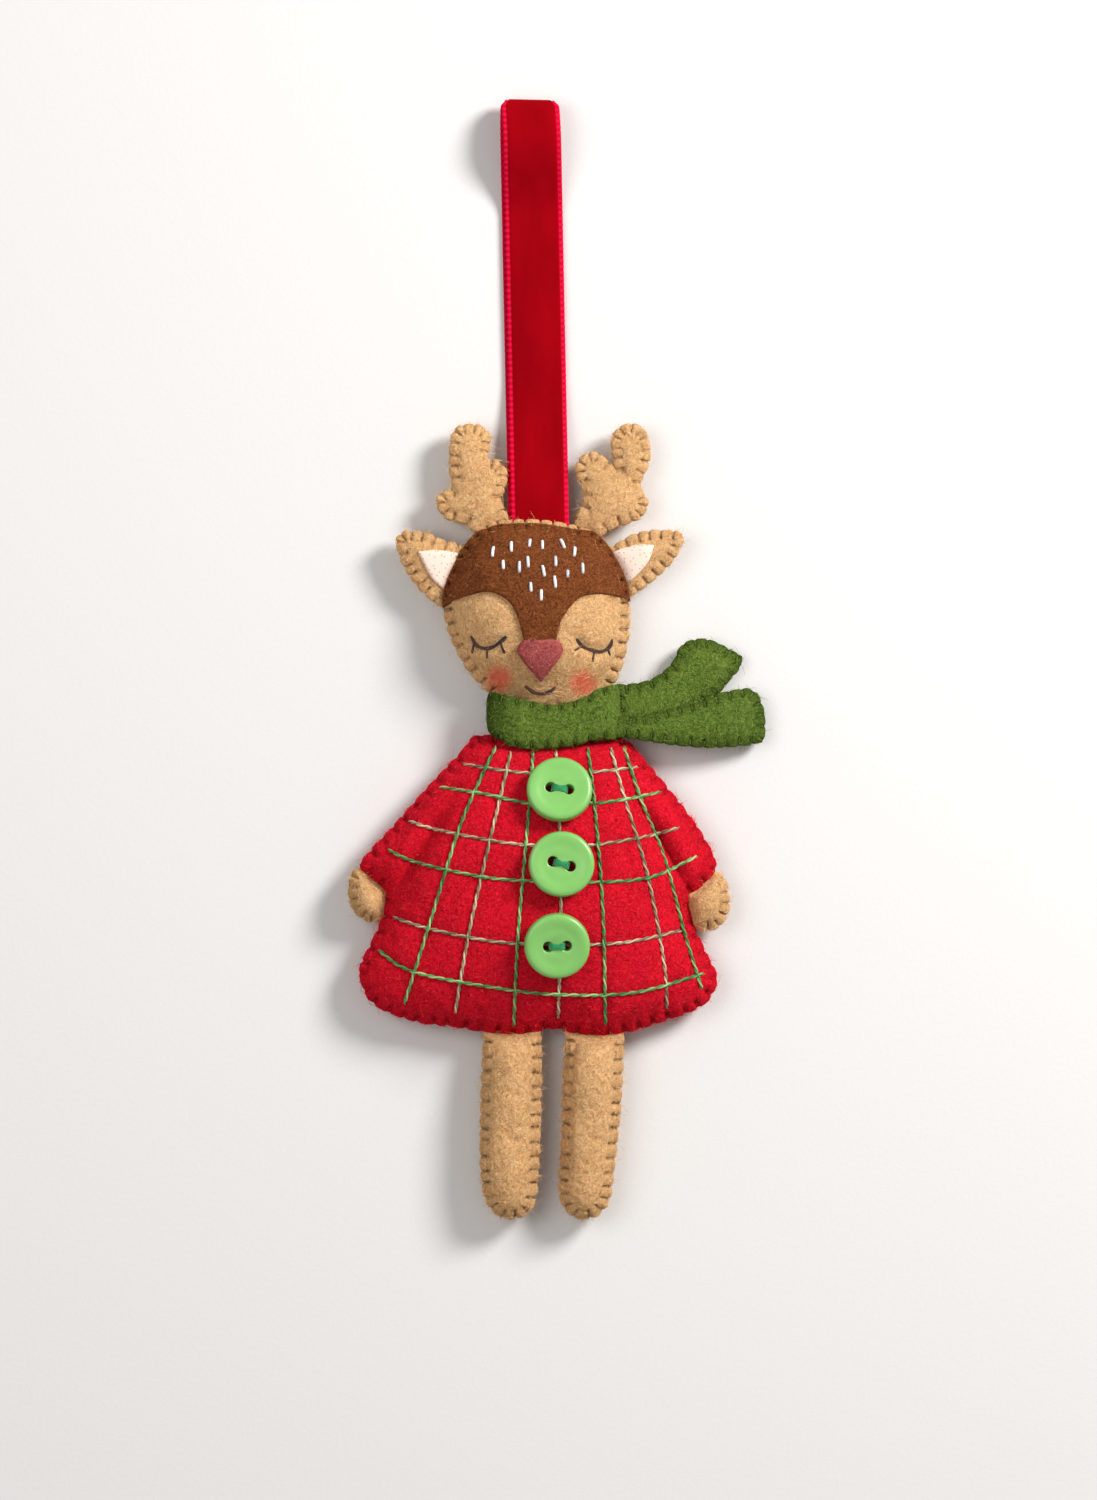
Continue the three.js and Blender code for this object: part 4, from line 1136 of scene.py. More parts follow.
def neckShare(low, high):
    return lambda plan: low + (high - low) * smoothStep(plan[:, 1], head["neckTop"], head["cheek"])


def dipAlong(plan, folds):
    # each fold: its width, its depth, and the line that it follows, deepest where its end is
    dip = np.zeros(len(plan))
    for width, depth, line in folds:
        line = smoothCurve(line, 0.4)
        away = np.hypot(*(plan[:, None] - line).transpose(2, 0, 1))
        along = away.argmin(1) / (len(line) - 1)
        fade = np.clip(np.minimum(along * 4 + 0.5, (1 - along) * 2.2), 0, 1)
        dip = np.maximum(dip, depth * fade * np.exp(-(away.min(1) / width) ** 1.5))
    return dip


def coatSwell(plan):
    curves = plaid["green"] + plaid["beige"]
    threads = np.vstack([smoothCurve(placed(curve, *coatPlace), 0.4) for curve in curves])
    near = []
    for block in np.array_split(plan, len(plan) // 2000 + 1):
        near.append(np.hypot(*(block[:, None] - threads).transpose(2, 0, 1)).min(1))
    pressed = plaid["press"] * np.exp(-(np.concatenate(near) / plaid["pressWidth"]) ** 2)
    return coat["swell"] * (1 - dipAlong(plan, coat["folds"])) - pressed


def headFront(plan):
    creases = [(head["lidWidth"], head["lidDepth"], placed(curves[0], *headPlace))
               for curves in head["eyes"].values()]
    domes = 0
    for lid in head["lids"]:
        away = (((plan - lid) / head["lidSize"]) ** 2).sum(1)
        domes = domes + head["lidSwell"] * np.exp(-away ** 1.6)
    return neckShare(1.6, head["swell"])(plan) * (1 - dipAlong(plan, creases)) + domes


def makeStuffed(name, outline, form, colour, slotName, nodes, perArea=1.3, hinge=None):
    # a hinge is the body that the piece would bend to, and where the bend would start and end; bend() only
    # bakes the piece's transform, so the piece is neither bent nor attached
    made = stuffed(name, outline, form, felts[colour])
    threads = edgeStitches(name.removesuffix("_felt") + "_stitching", made, felts[colour])
    strands = fuzzOn(made["piece"], perArea, colour)
    for piece in (made["piece"], threads, strands):
        if hinge:
            bend(piece, hinge[0], slotName, *hinge[1:])
        else:
            keep(piece, slotName)
    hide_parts(*nodes)
    return made


coatForm = makeStuffed("coat", coatOutline, {
    "edge": 1.2, "swell": coatSwell, "backSwell": 3.2, "spacing": 0.8, "pitch": 2.8, "scallop": 0.6,
    "grooveWidth": 0.4, "pinch": 0.45, "shade": 0.14,
}, "redFelt", "red_felt", ["coat_front_felt", "coat_back_felt", "coat_stuffing"])
print("coat")

headForm = makeStuffed("head", headOutline, {
    "edge": 1.2, "swell": headFront, "backSwell": neckShare(0, 3.3), "spacing": 0.5, "pitch": 2.4,
    "scallop": 1.25, "valley": 0.22,
}, "faceFelt", "tan_felt", ["head_front_felt", "head_back_felt", "head_stuffing"])
print("head")


def makeLeg(side):
    origin, size = sharesOn(side + "_leg_front_felt", leg["outline"][side])
    nodes = [f"{side}_leg_{part}" for part in ("front_felt", "back_felt", "stuffing", "tab")]
    outline = closedCurve(leg["outline"][side], origin, size)
    top = outline[:, 1].max()
    outline[:, 1] += np.where(outline[:, 1] > top - 0.2, leg["tuck"], 0)
    outline = kept(spacedLoop(outline), coatOutline, gaps["leg"])
    start = (origin[0], top + leg["tuck"], seamHeight)
    end = (origin[0], top - leg["turn"], seamHeight)
    makeStuffed(side + "_leg", outline, {
        "edge": 1.2, "swell": leg["swell"], "backSwell": 3.2, "spacing": 0.6, "mates": [coatOutline],
        "fullness": 0.5, "pitch": 2.45, "scallop": 1.35, "valley": 0.26, "shade": 0.1,
    }, "tanFelt", "tan_felt", nodes, 1.5, (side + "_leg", start, end))


def makeLimb(kind, side, limb, mate, matePlace, nodes=("front_felt", "back_felt")):
    # the place of its own outline's shares comes back with it
    origin = matePlace[0] + np.array(limb["place"][side]) * matePlace[1]
    place = (origin, np.array([limb["width"], limb["length"]]))
    outline = kept(closedCurve(limb["outline"][side], *place), mate, gaps["limb"])
    made = makeStuffed(f"{side}_{kind}", outline, {
        "edge": 1.15, "mates": [mate], "puff": False, "pitch": 2.1, **limb["form"],
        "shade": limb.get("shade", {}).get(side, 0),
    }, "tanFelt", "tan_felt", [f"{side}_{kind}_{part}" for part in nodes])
    return made, place


# Felt patches laid on a form

patching = {"step": 0.3, "rings": (0.15, 0.35, 0.6), "lift": 0.03, "atEdge": 0.35, "crown": 0.5}


def layPatch(name, outline, form, thickness, material, spacing=0.55):
    closed = spacedLoop(outline, patching["step"])
    points, faces = planMesh(closed, patching["rings"], spacing)
    depth, travelled, _ = edgeDistance(points, closed)
    ground = groundUnder(form, points) + patching["lift"]
    rounding = np.sqrt(1 - (1 - np.clip(depth / patching["crown"], 0, 1)) ** 2)
    crown = thickness * (patching["atEdge"] + (1 - patching["atEdge"]) * rounding)
    top = np.column_stack([points, ground + crown])
    bottom = np.column_stack([points, ground])
    rim = rimOf(depth, travelled)
    count = len(points)
    walls = np.column_stack([rim, rim + count, np.roll(rim, -1) + count, np.roll(rim, -1)])
    shell = [*faces, *(faces[:, ::-1] + count), *walls]
    piece = meshPiece(name, np.vstack([top, bottom]), shell, material)
    corners = [Vector(corner) for corner in top]
    return {"piece": piece, "front": BVHTree.FromPolygons(corners, faces.tolist())}


def makeFace():
    forehead = closedCurve(head["forehead"], *headPlace)
    top = headOutline[:, 1].max()
    rise = smoothStep(headOutline[:, 1], top - 2.4, top - 0.9)[:, None]
    inset = head["patchInset"] + (head["patchTop"] - head["patchInset"]) * rise
    forehead = kept(forehead, headOutline, -inset, within=True)
    patch = layPatch("forehead_felt", forehead, headForm, head["patch"], felts["brownFelt"])
    keep(patch["piece"], "brown_felt", "forehead_patch")
    keep(fuzzOn(patch["piece"], 1.4, "brownFelt"), "brown_felt")
    nose = layPatch("nose_felt_patch", closedCurve(head["nose"], *headPlace), headForm,
                    head["noseHeight"], felts["noseFelt"], 0.45)
    keep(nose["piece"], "nose_felt", "nose_patch")
    keep(fuzzOn(nose["piece"], 1.4, "noseFelt"), "nose_felt")
    for side, curves in head["eyes"].items():
        paths = []
        for number, curve in enumerate(curves):
            paths += flossAlong(curve, 3 if number == 0 else 2)
        eye = tubes(side + "_eye_threads", paths, head["strand"], floss["faceThread"])
        keep(eye, "dark_thread", side + "_eye_stitches")
    mouth = tubes("mouth_threads", flossAlong(*head["mouth"], 3), head["strand"], floss["mouthThread"])
    keep(mouth, "dark_thread", "mouth_stitches")
    layStitches(patch)


def shapeStitch():
    # one white stitch, 2 mm long, that dives into the felt at both ends
    select()
    radius = head["seedThread"] * mm
    bpy.ops.mesh.primitive_cylinder_add(vertices=10, radius=radius, depth=0.5 * mm,
                                        rotation=(math.pi / 2, 0, 0), location=(0, 0, 0.1 * mm))
    stitch = bpy.context.object
    bpy.ops.object.transform_apply(location=True, rotation=True)
    for end in (-1, 1):
        middle = editingEnd(stitch, (0, end, 0))
        steps = ((0.3, 0.02, 0.97), (0.25, 0.07, 0.9), (0.14, 0.12, 0.84), (0.06, 0.3, 0.7))
        for ahead, down, size in steps:
            step = Vector((0, end * ahead, -down)) * mm
            middle += step
            bpy.ops.mesh.extrude_region_move()
            bpy.ops.transform.translate(value=step)
            bpy.ops.transform.resize(value=(size, size, size), center_override=middle)
        bpy.ops.object.mode_set(mode="OBJECT")
    bpy.ops.object.shade_smooth()
    stitch.data.materials.append(floss["whiteThread"])
    return stitch


def facingOut(place, up, facing):
    # from a model's own axes to a place, with its y axis up and its z axis out of the surface
    axes = Matrix((up.cross(facing), up, facing)).transposed().to_4x4()
    return Matrix.Translation(place * mm) @ axes


def copied(model, name, matrix):
    copy = model.copy()
    copy.data = model.data.copy()
    copy.name = name
    bpy.context.collection.objects.link(copy)
    copy.data.transform(matrix)
    return copy


def layStitches(patch):
    model = shapeStitch()
    copies = []
    for x, y, lean, length in head["seeds"]:
        place, facing, _, _ = patch["front"].ray_cast(Vector((x, y, rayHeight)), Vector((0, 0, -1)))
        if place is None:
            place, facing = onto(headForm, x, y)
        turn = math.radians(lean)
        ahead = Vector((-math.sin(turn), math.cos(turn), 0))
        ahead = (ahead - facing * ahead.dot(facing)).normalized()
        stretch = Matrix.Diagonal((1, length / 2, 1, 1))
        copies.append(copied(model, "stitch", facingOut(place, ahead, facing) @ stretch))
    bpy.data.objects.remove(model)
    select(*copies)
    bpy.ops.object.join()
    stitches = bpy.context.object
    stitches.name = "forehead_stitches"
    keep(stitches, "pale_felt")


strand = {"step": 0.3, "gathered": 0.35, "opening": 0.3, "apart": 1.25, "lift": 0.1, "dive": 0.35,
          "sag": 0.04, "wander": 0.3, "wanderTurn": (0.7, 2.2), "thin": (0.6, 0.2)}


def flossAlong(curve, strands):
    # strands of floss side by side, drawn together where they go into the felt
    line = smoothCurve(placed(curve, *headPlace), strand["step"])
    x, y = unit(np.gradient(line, axis=0)).T
    end = stepsFromEnd(line)
    spread = np.clip(strand["gathered"] + strand["opening"] * end, 0, 1) * head["strand"] * strand["apart"]
    along, across = strand["wanderTurn"]
    atEnd, more = strand["thin"]
    paths = []
    for number in range(strands):
        offset = number - (strands - 1) / 2
        wander = strand["wander"] * np.sin(np.arange(len(line)) * along + number * across)
        path = line + np.column_stack([-y, x]) * (spread * (offset + wander))[:, None]
        height = groundUnder(headForm, path) + strand["lift"] - strand["dive"] * (end == 0)
        height -= strand["sag"] * abs(offset)
        paths.append(np.column_stack([path, height, np.clip(atEnd + more * end, 0, 1)]))
    return paths


for side in ("left", "right"):
    makeLeg(side)
    makeLimb("hand", side, hand, coatOutline, coatPlace, ("front_felt", "back_felt", "stuffing"))
    earForm, earPlace = makeLimb("ear", side, ear, headOutline, headPlace)
    innerEar = kept(closedCurve(ear["inner"][side], *earPlace), headOutline, gaps["lining"])
    lining = layPatch(side + "_ear_lining", innerEar, earForm, 0.5, paleCotton, 0.6)
    keep(lining["piece"], "pale_felt", side + "_inner_ear")
    makeLimb("antler", side, antler, headOutline, headPlace)
    print(side, "limbs, ear and antler")

makeFace()
print("face")


# Plaid: two plies twisted round each other, laid on the coat, and over what was laid before

def plaidPaths():
    laid = np.zeros((0, 2))
    for colour in ("beige", "green"):
        lines = []
        for curve in plaid[colour]:
            line = smoothCurve(placed(curve, *coatPlace), plaid["step"])
            ground = groundUnder(coatForm, line)
            reach = plaid["ease"]
            window = np.ones(2 * reach + 1) / (2 * reach + 1)
            eased = np.convolve(np.pad(ground, reach, mode="edge"), window, mode="valid")
            lift = np.full(len(line), plaid["lift"])
            if len(laid):
                away = np.sqrt(((line[:, None] - laid) ** 2).sum(2)).min(1)
                lift += plaid["over"] * (1 - smoothStep(away, *plaid["overReach"]))
            lift -= (plaid["lift"] + plaid["dive"]) * (stepsFromEnd(line) == 0)
            lines.append(np.column_stack([line, np.maximum(ground, eased) + lift]))
        yield colour, lines
        laid = np.vstack([laid, *[line[:, :2] for line in lines]])


def pliesOf(line, phase):
    along = unit(np.gradient(line, axis=0))
    aside = unit(np.cross(along, (0, 0, 1)))
    up = np.cross(aside, along)
    angle = 2 * np.pi * travel(line) / plaid["twist"] + phase
    radius = plaid["ply"] * plaid["tight"]
    ply = line + radius * (np.cos(angle)[:, None] * aside + np.sin(angle)[:, None] * up)
    return np.column_stack([ply, np.clip(0.45 + 0.3 * stepsFromEnd(line), 0, 1)])


def makePlaid():
    for colour, lines in plaidPaths():
        name = f"plaid_{colour}_thread"
        for phase, shade in ((0, "Light"), (np.pi, "Dark")):
            paths = [pliesOf(line, phase + number * 1.7) for number, line in enumerate(lines)]
            piece = tubes(f"{name}_{shade.lower()}_ply", paths, plaid["ply"], floss[colour + shade])
            keep(piece, colour + "_thread", name)


makePlaid()
print("plaid")


# Buttons: one is shaped, then copied

button = {
    "width": 11.4,
    "thickness": 2.4,
    "dish": 0.24,
    "rim": 1.0,
    "slope": 1.9,
    "hole": 0.9,
    "holePlace": 1.6,
    "holeRound": 0.2,
    "edge": 0.8,
    "lift": 0.75,
    "thread": 0.17,
    "places": {"top": (21, 323), "middle": (26, 88), "bottom": (14, -171)},
    "turns": {"top": -7, "middle": -15.5, "bottom": 2.5},
}
buttonFace = button["thickness"] - button["dish"]


def shapeDrill(x):
    # a pin that widens at the button's face, to round the hole's edge
    depth = buttonFace + 1 - button["holeRound"]
    select()
    bpy.ops.mesh.primitive_cylinder_add(vertices=32, radius=button["hole"] * mm, depth=depth * mm,
                                        location=(x * mm, 0, (depth / 2 - 1) * mm))
    drill = bpy.context.object
    editingEnd(drill)
    for share, widening in ((0.4, 1.03), (0.35, 1.06), (0.25, 1.1), (4, 1.3)):
        bpy.ops.mesh.extrude_region_move()
        bpy.ops.transform.translate(value=(0, 0, share * button["holeRound"] * mm))
        bpy.ops.transform.resize(value=(widening, widening, 1), center_override=(x * mm, 0, 0))
    bpy.ops.object.mode_set(mode="OBJECT")
    return drill


def shapeButton():
    select()
    bpy.ops.mesh.primitive_cylinder_add(vertices=72, radius=button["width"] / 2 * mm,
                                        depth=button["thickness"] * mm,
                                        location=(0, 0, button["thickness"] / 2 * mm))
    model = bpy.context.object
    bpy.ops.object.transform_apply(location=True)
    editing(model)
    bpy.ops.mesh.select_all(action="DESELECT")
    bpy.ops.mesh.edges_select_sharp(sharpness=math.radians(60))
    bpy.ops.mesh.bevel(offset=button["edge"] * mm, segments=6, profile=0.5, affect="EDGES")
    bpy.ops.object.mode_set(mode="OBJECT")
    editingEnd(model)
    bpy.ops.mesh.inset(thickness=(button["rim"] - button["edge"]) * mm)
    for share in (0.12, 0.38, 0.38, 0.12):
        bpy.ops.mesh.inset(thickness=button["slope"] * 0.25 * mm, depth=-button["dish"] * share * mm)
    bpy.ops.object.mode_set(mode="OBJECT")
    for side in (-1, 1):
        drill = shapeDrill(side * button["holePlace"])
        cutting = model.modifiers.new("hole", "BOOLEAN")
        cutting.operation = "DIFFERENCE"
        cutting.solver = "MANIFOLD"
        cutting.object = drill
        select(model)
        bpy.ops.object.modifier_apply(modifier="hole")
        bpy.data.objects.remove(drill)
    bpy.ops.object.shade_smooth_by_angle(angle=math.radians(40))
    model.data.materials.clear()
    model.data.materials.append(buttonPlastic)
    model.data.polygons.foreach_set("material_index", [0] * len(model.data.polygons))
    return model


def seatOnCoat(x, y):
    # the plane that touches the coat's highest points under a button
    around = [(x, y)]
    for distance in (0.5, 0.95):
        for number in range(24):
            angle = 2 * math.pi * number / 24
            reach = distance * button["width"] / 2
            around.append((x + reach * math.cos(angle), y + reach * math.sin(angle)))
    ground = np.array([tuple(onto(coatForm, *place)[0]) for place in around])
    flat = np.column_stack([ground[:, :2] - (x, y), np.ones(len(ground))])
    slopeX, slopeY, _ = np.linalg.lstsq(flat, ground[:, 2], rcond=None)[0]
    height = (ground[:, 2] - flat[:, 0] * slopeX - flat[:, 1] * slopeY).max()
    return Vector((x, y, height)), Vector((-slopeX, -slopeY, 1)).normalized()


def buttonStrands(place):
    # four strands of thread that come out of one hole and go into the other
    brink = button["holePlace"] - button["hole"]
    strands = []
    for number in range(4):
        y = (number - 1.5) * 0.3
        rise = buttonFace + button["thread"] + 0.1 - 0.07 * abs(number - 1.5)
        half = [(brink + 0.62, y, 0.3), (brink + 0.56, y, buttonFace - 0.8), (brink + 0.3, y, rise - 0.2),
                (brink, y * 0.95, rise), (brink * 0.5, y * 0.7, rise + 0.04)]
        path = [(-x, y, z) for x, y, z in half] + [(0, y * 0.55, rise + 0.06)] + half[::-1]
        line = smoothCurve(path, 0.15)
        strands.append([tuple(place @ (Vector(point) * mm) / mm) for point in line])
    return strands


def makeButtons():
    model = shapeButton()
    for name, shares in button["places"].items():
        seat, facing = seatOnCoat(*placed(shares, *coatPlace)[0])
        place = facingOut(seat + facing * button["lift"], facing.cross((1, 0, 0)).normalized(), facing)
        place = place @ Matrix.Rotation(math.radians(button["turns"][name]), 4, "Z")
        keep(copied(model, name + "_green_button", place), "green_plastic", name + "_button")
        thread = tubes(name + "_green_thread", buttonStrands(place), button["thread"],
                       floss["buttonThread"], 2)
        keep(thread, "green_thread", name + "_button_thread")
    bpy.data.objects.remove(model)


makeButtons()
print("buttons")


# Scarf

band = {
    "middle": (0.4424, 5.55),
    "innerHalf": 10.0,
    "arch": 2.5,
    "depth": 3.0,
    "frontSquareness": 0.8,
    "backSquareness": 0.3,
    "thickness": (1.15, 2.3),
    # top and bottom edges in front, left to right
    "top": ((-12.0, 34.9), (-10.5, 34.7), (-7.5, 34.05), (-3.85, 33.3), (-0.2, 32.5), (3.5, 33.1),
            (6.5, 34.2), (8.05, 35.2), (10.4, 35.9), (12.6, 36.0)),
    "bottom": ((-12.0, 28.6), (-11.4, 28.2), (-9.45, 26.5), (-6.5, 25.2), (-3.85, 24.8), (-0.2, 24.9),
               (3.5, 25.3), (6.1, 25.9), (8.05, 26.4), (12.6, 26.5)),
    "pitch": 2.4,
    "backTop": 35.0,
    "backBottom": 28.2,
    "turns": 220,
    "around": 30,
    # from how far behind the middle it looks forward, and is thicker
    "forward": (-2, 0.5),
    "thicker": (-1, 1.5),
    # painted shade at its left end and along its edges, and painted shade in its stitch grooves inside and
    # outside
    "shade": (0.95, 0.22),
    "shadeReach": (-11, -5),
    "pinch": (0.3, 0.7),
    "round": (0.62, 0.8, 0.5),
    "edgeFade": (0.9, 1.6),
    # how far grooves and the swells between them go, sideways and outwards
    "groove": (0.13, 0.15),
    "swell": (0.05, 0.1),
    "grooveWidth": 0.3,
    "squeeze": 0.2,
    "stitchShift": 1.5,
    # height, frequency along and across, and start of each wave
    "waves": ((0.16, 0.9, 1.7, 0), (0.1, 2.1, -2.3, 1)),
    # how deep in each point of a stitch is, and its share of the thickness
    "stations": ((1.3, 0.55), (1.15, 0.8), (0.7, 0.72), (0.42, 0.6), (0.3, 0.35), (0.5, 0.1)),
}


def rowFaces(rows, count, closed):
    # quads between neighbouring rows of points, the last row beside the first
    faces = []
    for row in range(rows):
        after = (row + 1) % rows
        for number in range(count if closed else count - 1):
            follows = (number + 1) % count
            faces.append((row * count + number, row * count + follows,
                          after * count + follows, after * count + number))
    return faces


def recalculate(piece):
    editing(piece)
    bpy.ops.mesh.select_all(action="SELECT")
    bpy.ops.mesh.normals_make_consistent(inside=False)
    bpy.ops.object.mode_set(mode="OBJECT")


def bandRing():
    angles = np.linspace(0, 2 * np.pi, band["turns"] * 8, endpoint=False) + 0.01
    c, s = np.cos(angles), np.sin(angles)
    square = np.where(s < 0, band["backSquareness"], band["frontSquareness"])
    rise = np.where(s < 0, band["depth"], band["arch"])
    x = band["middle"][0] + band["innerHalf"] * np.sign(c) * np.abs(c) ** square
    z = band["middle"][1] + rise * np.sign(s) * np.abs(s) ** square
    return spacedLoop(np.column_stack([x, z]), 48 / band["turns"])


def makeBand():
    ring = bandRing()
    aheadX, aheadZ = (np.roll(ring, -3, axis=0) - np.roll(ring, 3, axis=0)).T
    out = unit(np.column_stack([aheadZ, -aheadX]))
    out *= np.sign(((ring - band["middle"]) * out).sum(1))[:, None]
    height = ring[:, 1] - band["middle"][1]
    forward = smoothStep(height, *band["forward"])
    shiftX = ring[:, 0] + out[:, 0] * band["stitchShift"]
    borders = []
    for name, back in (("top", band["backTop"]), ("bottom", band["backBottom"])):
        x, y = smoothCurve(band[name], 0.2).T
        borders.append(back + (np.interp(shiftX, x, y) - back) * forward)
    top, bottom = borders
    thin, thick = band["thickness"]
    thickness = thin + (thick - thin) * smoothStep(height, *band["thicker"])
    total = travel(looped(ring))[-1]
    travelled = travel(ring)
    stitches = round(total / band["pitch"])
    pitch = total / stitches
    away = np.abs(travelled / pitch - np.round(travelled / pitch)) * pitch
    groove = np.exp(-(away / band["grooveWidth"]) ** 2)
    between = np.sin(np.pi * travelled / pitch) ** 2
    half = (top - bottom) / 2
    sideRound, outRound, inRound = band["round"]
    rows = []
    paintedShades = []
    for step in range(band["around"]):
        angle = 2 * np.pi * step / band["around"]
        c, s = math.cos(angle), math.sin(angle)
        h = np.sign(c) * abs(c) ** sideRound
        r = 0.5 + 0.5 * np.sign(s) * abs(s) ** (outRound if s > 0 else inRound)
        edge = 1 - smoothStep(half * (1 - abs(h)), *band["edgeFade"])
        sideways, outwards = (edge * (swell * between - depth * groove)
                              for depth, swell in zip(band["groove"], band["swell"]))
        reach = half * abs(h) + sideways
        lift = thickness * r * (1 - band["squeeze"] * groove * edge) + outwards * (r > 0.5)
        wave = sum(size * np.sin(shiftX * along + h * across + start)
                   for size, along, across, start in band["waves"])
        lift += wave * forward * (1 - edge) * max(0, r - 0.5)
        y = (top + bottom) / 2 + np.sign(h) * reach
        rows.append(np.column_stack([ring[:, 0] + out[:, 0] * lift, y, ring[:, 1] + out[:, 1] * lift]))
        # painted shade: darker towards the left end, along the edges and in the stitch grooves
        atLeft, atEdge = band["shade"]
        shade = atLeft * (1 - smoothStep(ring[:, 0], *band["shadeReach"])) + atEdge * edge
        paintedShades.append(groove * edge * band["pinch"][int(r >= 0.5)] + shade)
    faces = rowFaces(band["around"], len(ring), True)
    piece = meshPiece("scarf_band", np.vstack(rows), faces, felts["greenFelt"])
    recalculate(piece)
    store(piece, "pinch", np.clip(np.concatenate(paintedShades), 0, 1))
    keep(piece, "green_felt", "scarf_neck_band")
    paths = []
    for number in range(stitches):
        at = int(np.argmin(np.abs(travelled - number * pitch)))
        for up, border in ((1, top[at]), (-1, bottom[at])):
            path = []
            for depth, share in band["stations"]:
                x, z = ring[at] + out[at] * thickness[at] * share
                path.append((x, border - up * depth, z))
            paths.append(path)
    threads = tubes("scarf_band_stitching", paths, stitching["thread"], felts["greenFelt"])
    keep(threads, "green_felt")
    keep(fuzzOn(piece, 1.0, "greenFelt"), "green_felt")


tail = {
    "place": (12.7733, 31.532),
    "spread": 10.15,
    "slope": 0.18,
    "length": {"upper": 20.8, "lower": 24.5},
    "height": {"upper": 5.0, "lower": 7.05},
    "tuck": {"upper": 1.5, "lower": 2.2},
    "wave": {"upper": 0.25, "lower": 0.15},
    "waveTurn": 0.42,
    "hinge": (11.5, 14.6),
}


def makeTail(side):
    x, y = tail["place"]
    height = tail["height"][side]
    outline = closedCurve(scarf[side], np.array([x, y]), np.array([tail["length"][side], tail["spread"]]))
    outline[:, 0] -= tail["tuck"][side] * (outline[:, 0] < x + 0.05)

    def hang(flat):
        bent = np.array(flat, dtype=float)
        out = bent[:, 0] - x
        bent[:, 2] += height - tail["slope"] * out + tail["wave"][side] * np.sin(out * tail["waveTurn"])
        bent[:, 2] = np.maximum(bent[:, 2], floorGap)
        return bent

    name = f"scarf_{side}_tail"
    start, end = ((place, y, height) for place in tail["hinge"])
    makeStuffed(name + "_felt", spacedLoop(outline), {
        "edge": 0.85, "swell": 1.0, "backSwell": 0.25, "spacing": 0.55, "seam": 0, "floor": -60,
        "bend": hang, "puff": False, "pitch": 2.2, "scallop": 0.4, "grooveWidth": 0.24, "pinch": 0.8,
        "shade": 0.52,
    }, "greenFelt", "green_felt", [name], 1.0, ("scarf_tails", start, end))


makeBand()
makeTail("upper")
makeTail("lower")
print("scarf")


# Ribbon: a strip of velvet, folded over at the far end

ribbon = {
    "x": -1.9082,
    "root": 65.2134,
    "width": 10.1,
    "length": 72.8,
    "lean": -1.5,
    "ply": 0.45,
    "gap": 0.3,
    "low": 0.275,
    "drop": 26,
    "loopRise": 5.65,
    "loopLength": 12,
    "throat": 14,
    "shift": -0.55,
    "tuck": 2.2,
    "selvedge": 0.75,
    "dash": 1.05,
    "tilt": 0.1,
    "tipRound": 0.7,
    "step": 0.35,
    "hinge": (64.7, 66.6),
    # how far from the fold it shifts, tilts and narrows
    "shiftReach": 8,
    "tiltReach": 14,
    "tipReach": 1.3,
    # shares of the ply: the pile and the woven edge above the middle, and the back below it
    "pile": 0.62,
    "woven": 0.3,
    "back": 0.38,
    "ripple": 0.03,
}


def ribbonPath():
    # distance from the root and height of the strip's middle, from the upper end round the fold
    pitch = ribbon["ply"] + ribbon["gap"]
    loopMiddle = ribbon["length"] - ribbon["loopLength"] / 2
    straight = np.arange(-ribbon["tuck"], loopMiddle, ribbon["step"])
    start = seamHeight - pitch / 2
    lower = start + (ribbon["low"] - start) * smoothStep(straight, 0, ribbon["drop"])
    opening = smoothStep(straight, loopMiddle - ribbon["throat"], loopMiddle)
    upper = lower + pitch + (ribbon["loopRise"] - pitch) * opening
    angles = np.linspace(np.pi / 2, -np.pi / 2, 40)
    fold = np.column_stack([loopMiddle + ribbon["loopLength"] / 2 * np.cos(angles),
                            ribbon["low"] + ribbon["loopRise"] / 2 * (1 + np.sin(angles))])
    path = np.vstack([np.column_stack([straight, upper]), fold,
                      np.column_stack([straight, lower])[::-1]])
    return spaced(path, ribbon["step"])


def makeVelvet():
    finish = Finish("redVelvet")
    where = finish.place()
    along = finish.attribute("along")
    woven = finish.attribute("selvedge")
    brushed = finish.noise(finish.turned(where, 0, (1, 4, 1)), 5, 2, 0.5)
    pile = finish.noise(where, 0.16, 3, 0.75)
    colour = finish.mixed(brushed.between(0.35, 0.68), (0.225, 0.0003, 0.0022), (0.32, 0.0007, 0.0045))
    colour = finish.mixed(pile.between(0.3, 0.75) * 0.35, colour, (0.44, 0.0018, 0.009))
    phase = along * (2 * math.pi / ribbon["dash"])
    dash = phase.maths("SINE", phase)
    ridge = (dash * 0.5 + 0.5).between(0.25, 0.85)
    edgeColour = finish.mixed(ridge, (0.58, 0.002, 0.025), (0.76, 0.008, 0.05))
    colour = finish.mixed(woven, colour, edgeColour)
    height = pile * (1 - woven) * 0.4 + ridge * woven * 0.5
    return finish.finished((height, 0.08), Base_Color=colour, Roughness=0.92 - woven * 0.4,
                           Sheen_Weight=0.22, Sheen_Roughness=0.3, Sheen_Tint=(0.9, 0.01, 0.03),
                           Specular_IOR_Level=0.02)


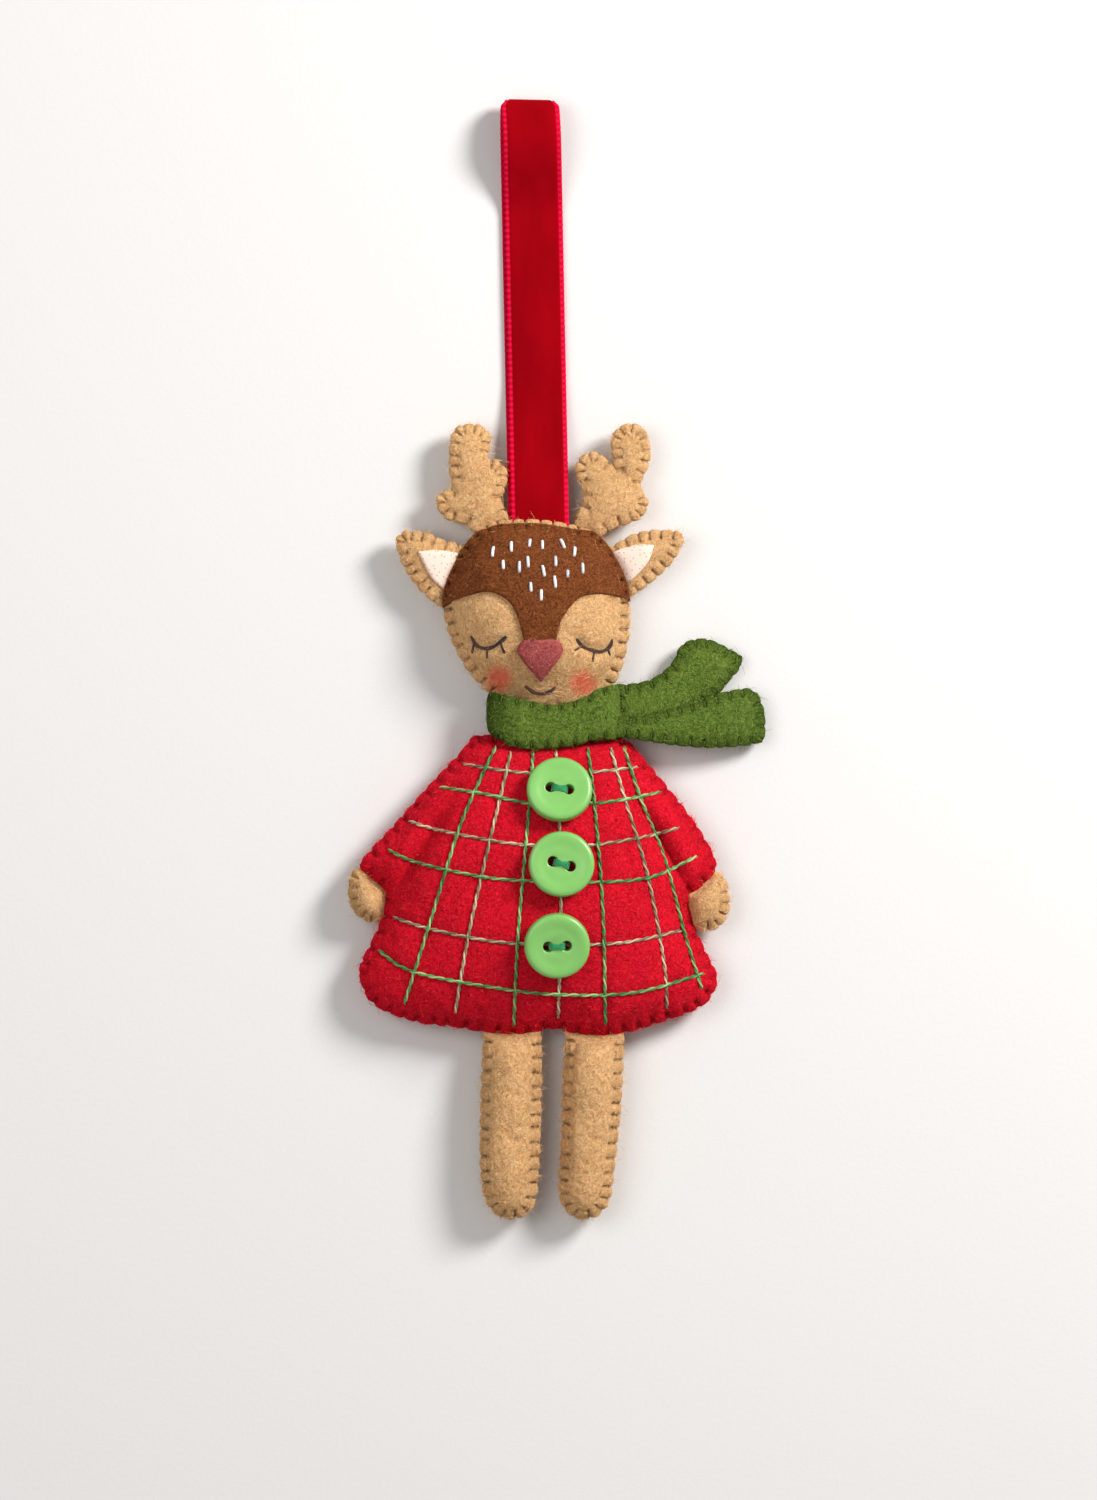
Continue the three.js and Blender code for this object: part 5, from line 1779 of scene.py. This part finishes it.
def makeRibbon():
    path = ribbonPath()
    far, height = path.T
    aheadFar, aheadHeight = unit(np.gradient(path, axis=0)).T
    travelled = travel(path)
    around = smoothStep(travelled - travelled[-1] / 2, -ribbon["shiftReach"], ribbon["shiftReach"])
    middle = ribbon["x"] + ribbon["lean"] * far / ribbon["length"] + ribbon["shift"] * around
    nearTip = smoothStep(far, ribbon["length"] - ribbon["tiltReach"], ribbon["length"])
    tip = smoothStep(far, ribbon["length"] - ribbon["tipReach"], ribbon["length"]) ** 2
    half = ribbon["width"] / 2
    inner = half - ribbon["selvedge"]
    pile, woven, back = (ribbon["ply"] * ribbon[part] for part in ("pile", "woven", "back"))
    section = [(-half, 0), (-half + 0.06, woven), (-half + 0.4, woven + 0.05), (-inner - 0.1, woven),
               (-inner + 0.08, pile - 0.03), (-inner + 0.35, pile)]
    section += [(x, pile) for x in np.linspace(-inner + 1, inner - 1, 9)]
    section += [(-x, z) for x, z in section[5::-1]]
    section += [(x, -back) for x in np.linspace(half - 0.06, -half + 0.06, 9)]
    rows = []
    for x, z in section:
        ripple = ribbon["ripple"] * np.sin(2 * np.pi * travelled / ribbon["dash"]) * (abs(x) > inner)
        tilt = ribbon["tilt"] * nearTip * (-x / half)
        across = middle + x * (1 - ribbon["tipRound"] / half * tip) + ripple * np.sign(x)
        along = ribbon["root"] + far - aheadHeight * z + tilt
        rows.append(np.column_stack([across, along, np.maximum(height + aheadFar * z, floorGap)]))
    count, size = len(path), len(section)
    faces = rowFaces(size, count, False)
    faces.append([row * count for row in range(size)])
    faces.append([row * count + count - 1 for row in reversed(range(size))])
    piece = meshPiece("ribbon_loop", np.vstack(rows), faces, makeVelvet())
    recalculate(piece)
    store(piece, "along", np.tile(travelled, size))
    store(piece, "selvedge", np.repeat([float(abs(x) > inner) for x, _ in section], count))
    start, end = ((ribbon["x"], place, seamHeight) for place in ribbon["hinge"])
    bend(piece, "ribbon", "red_velvet", start, end)
    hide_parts("hanging_ribbon", "ribbon_ends")


makeRibbon()
print("ribbon")
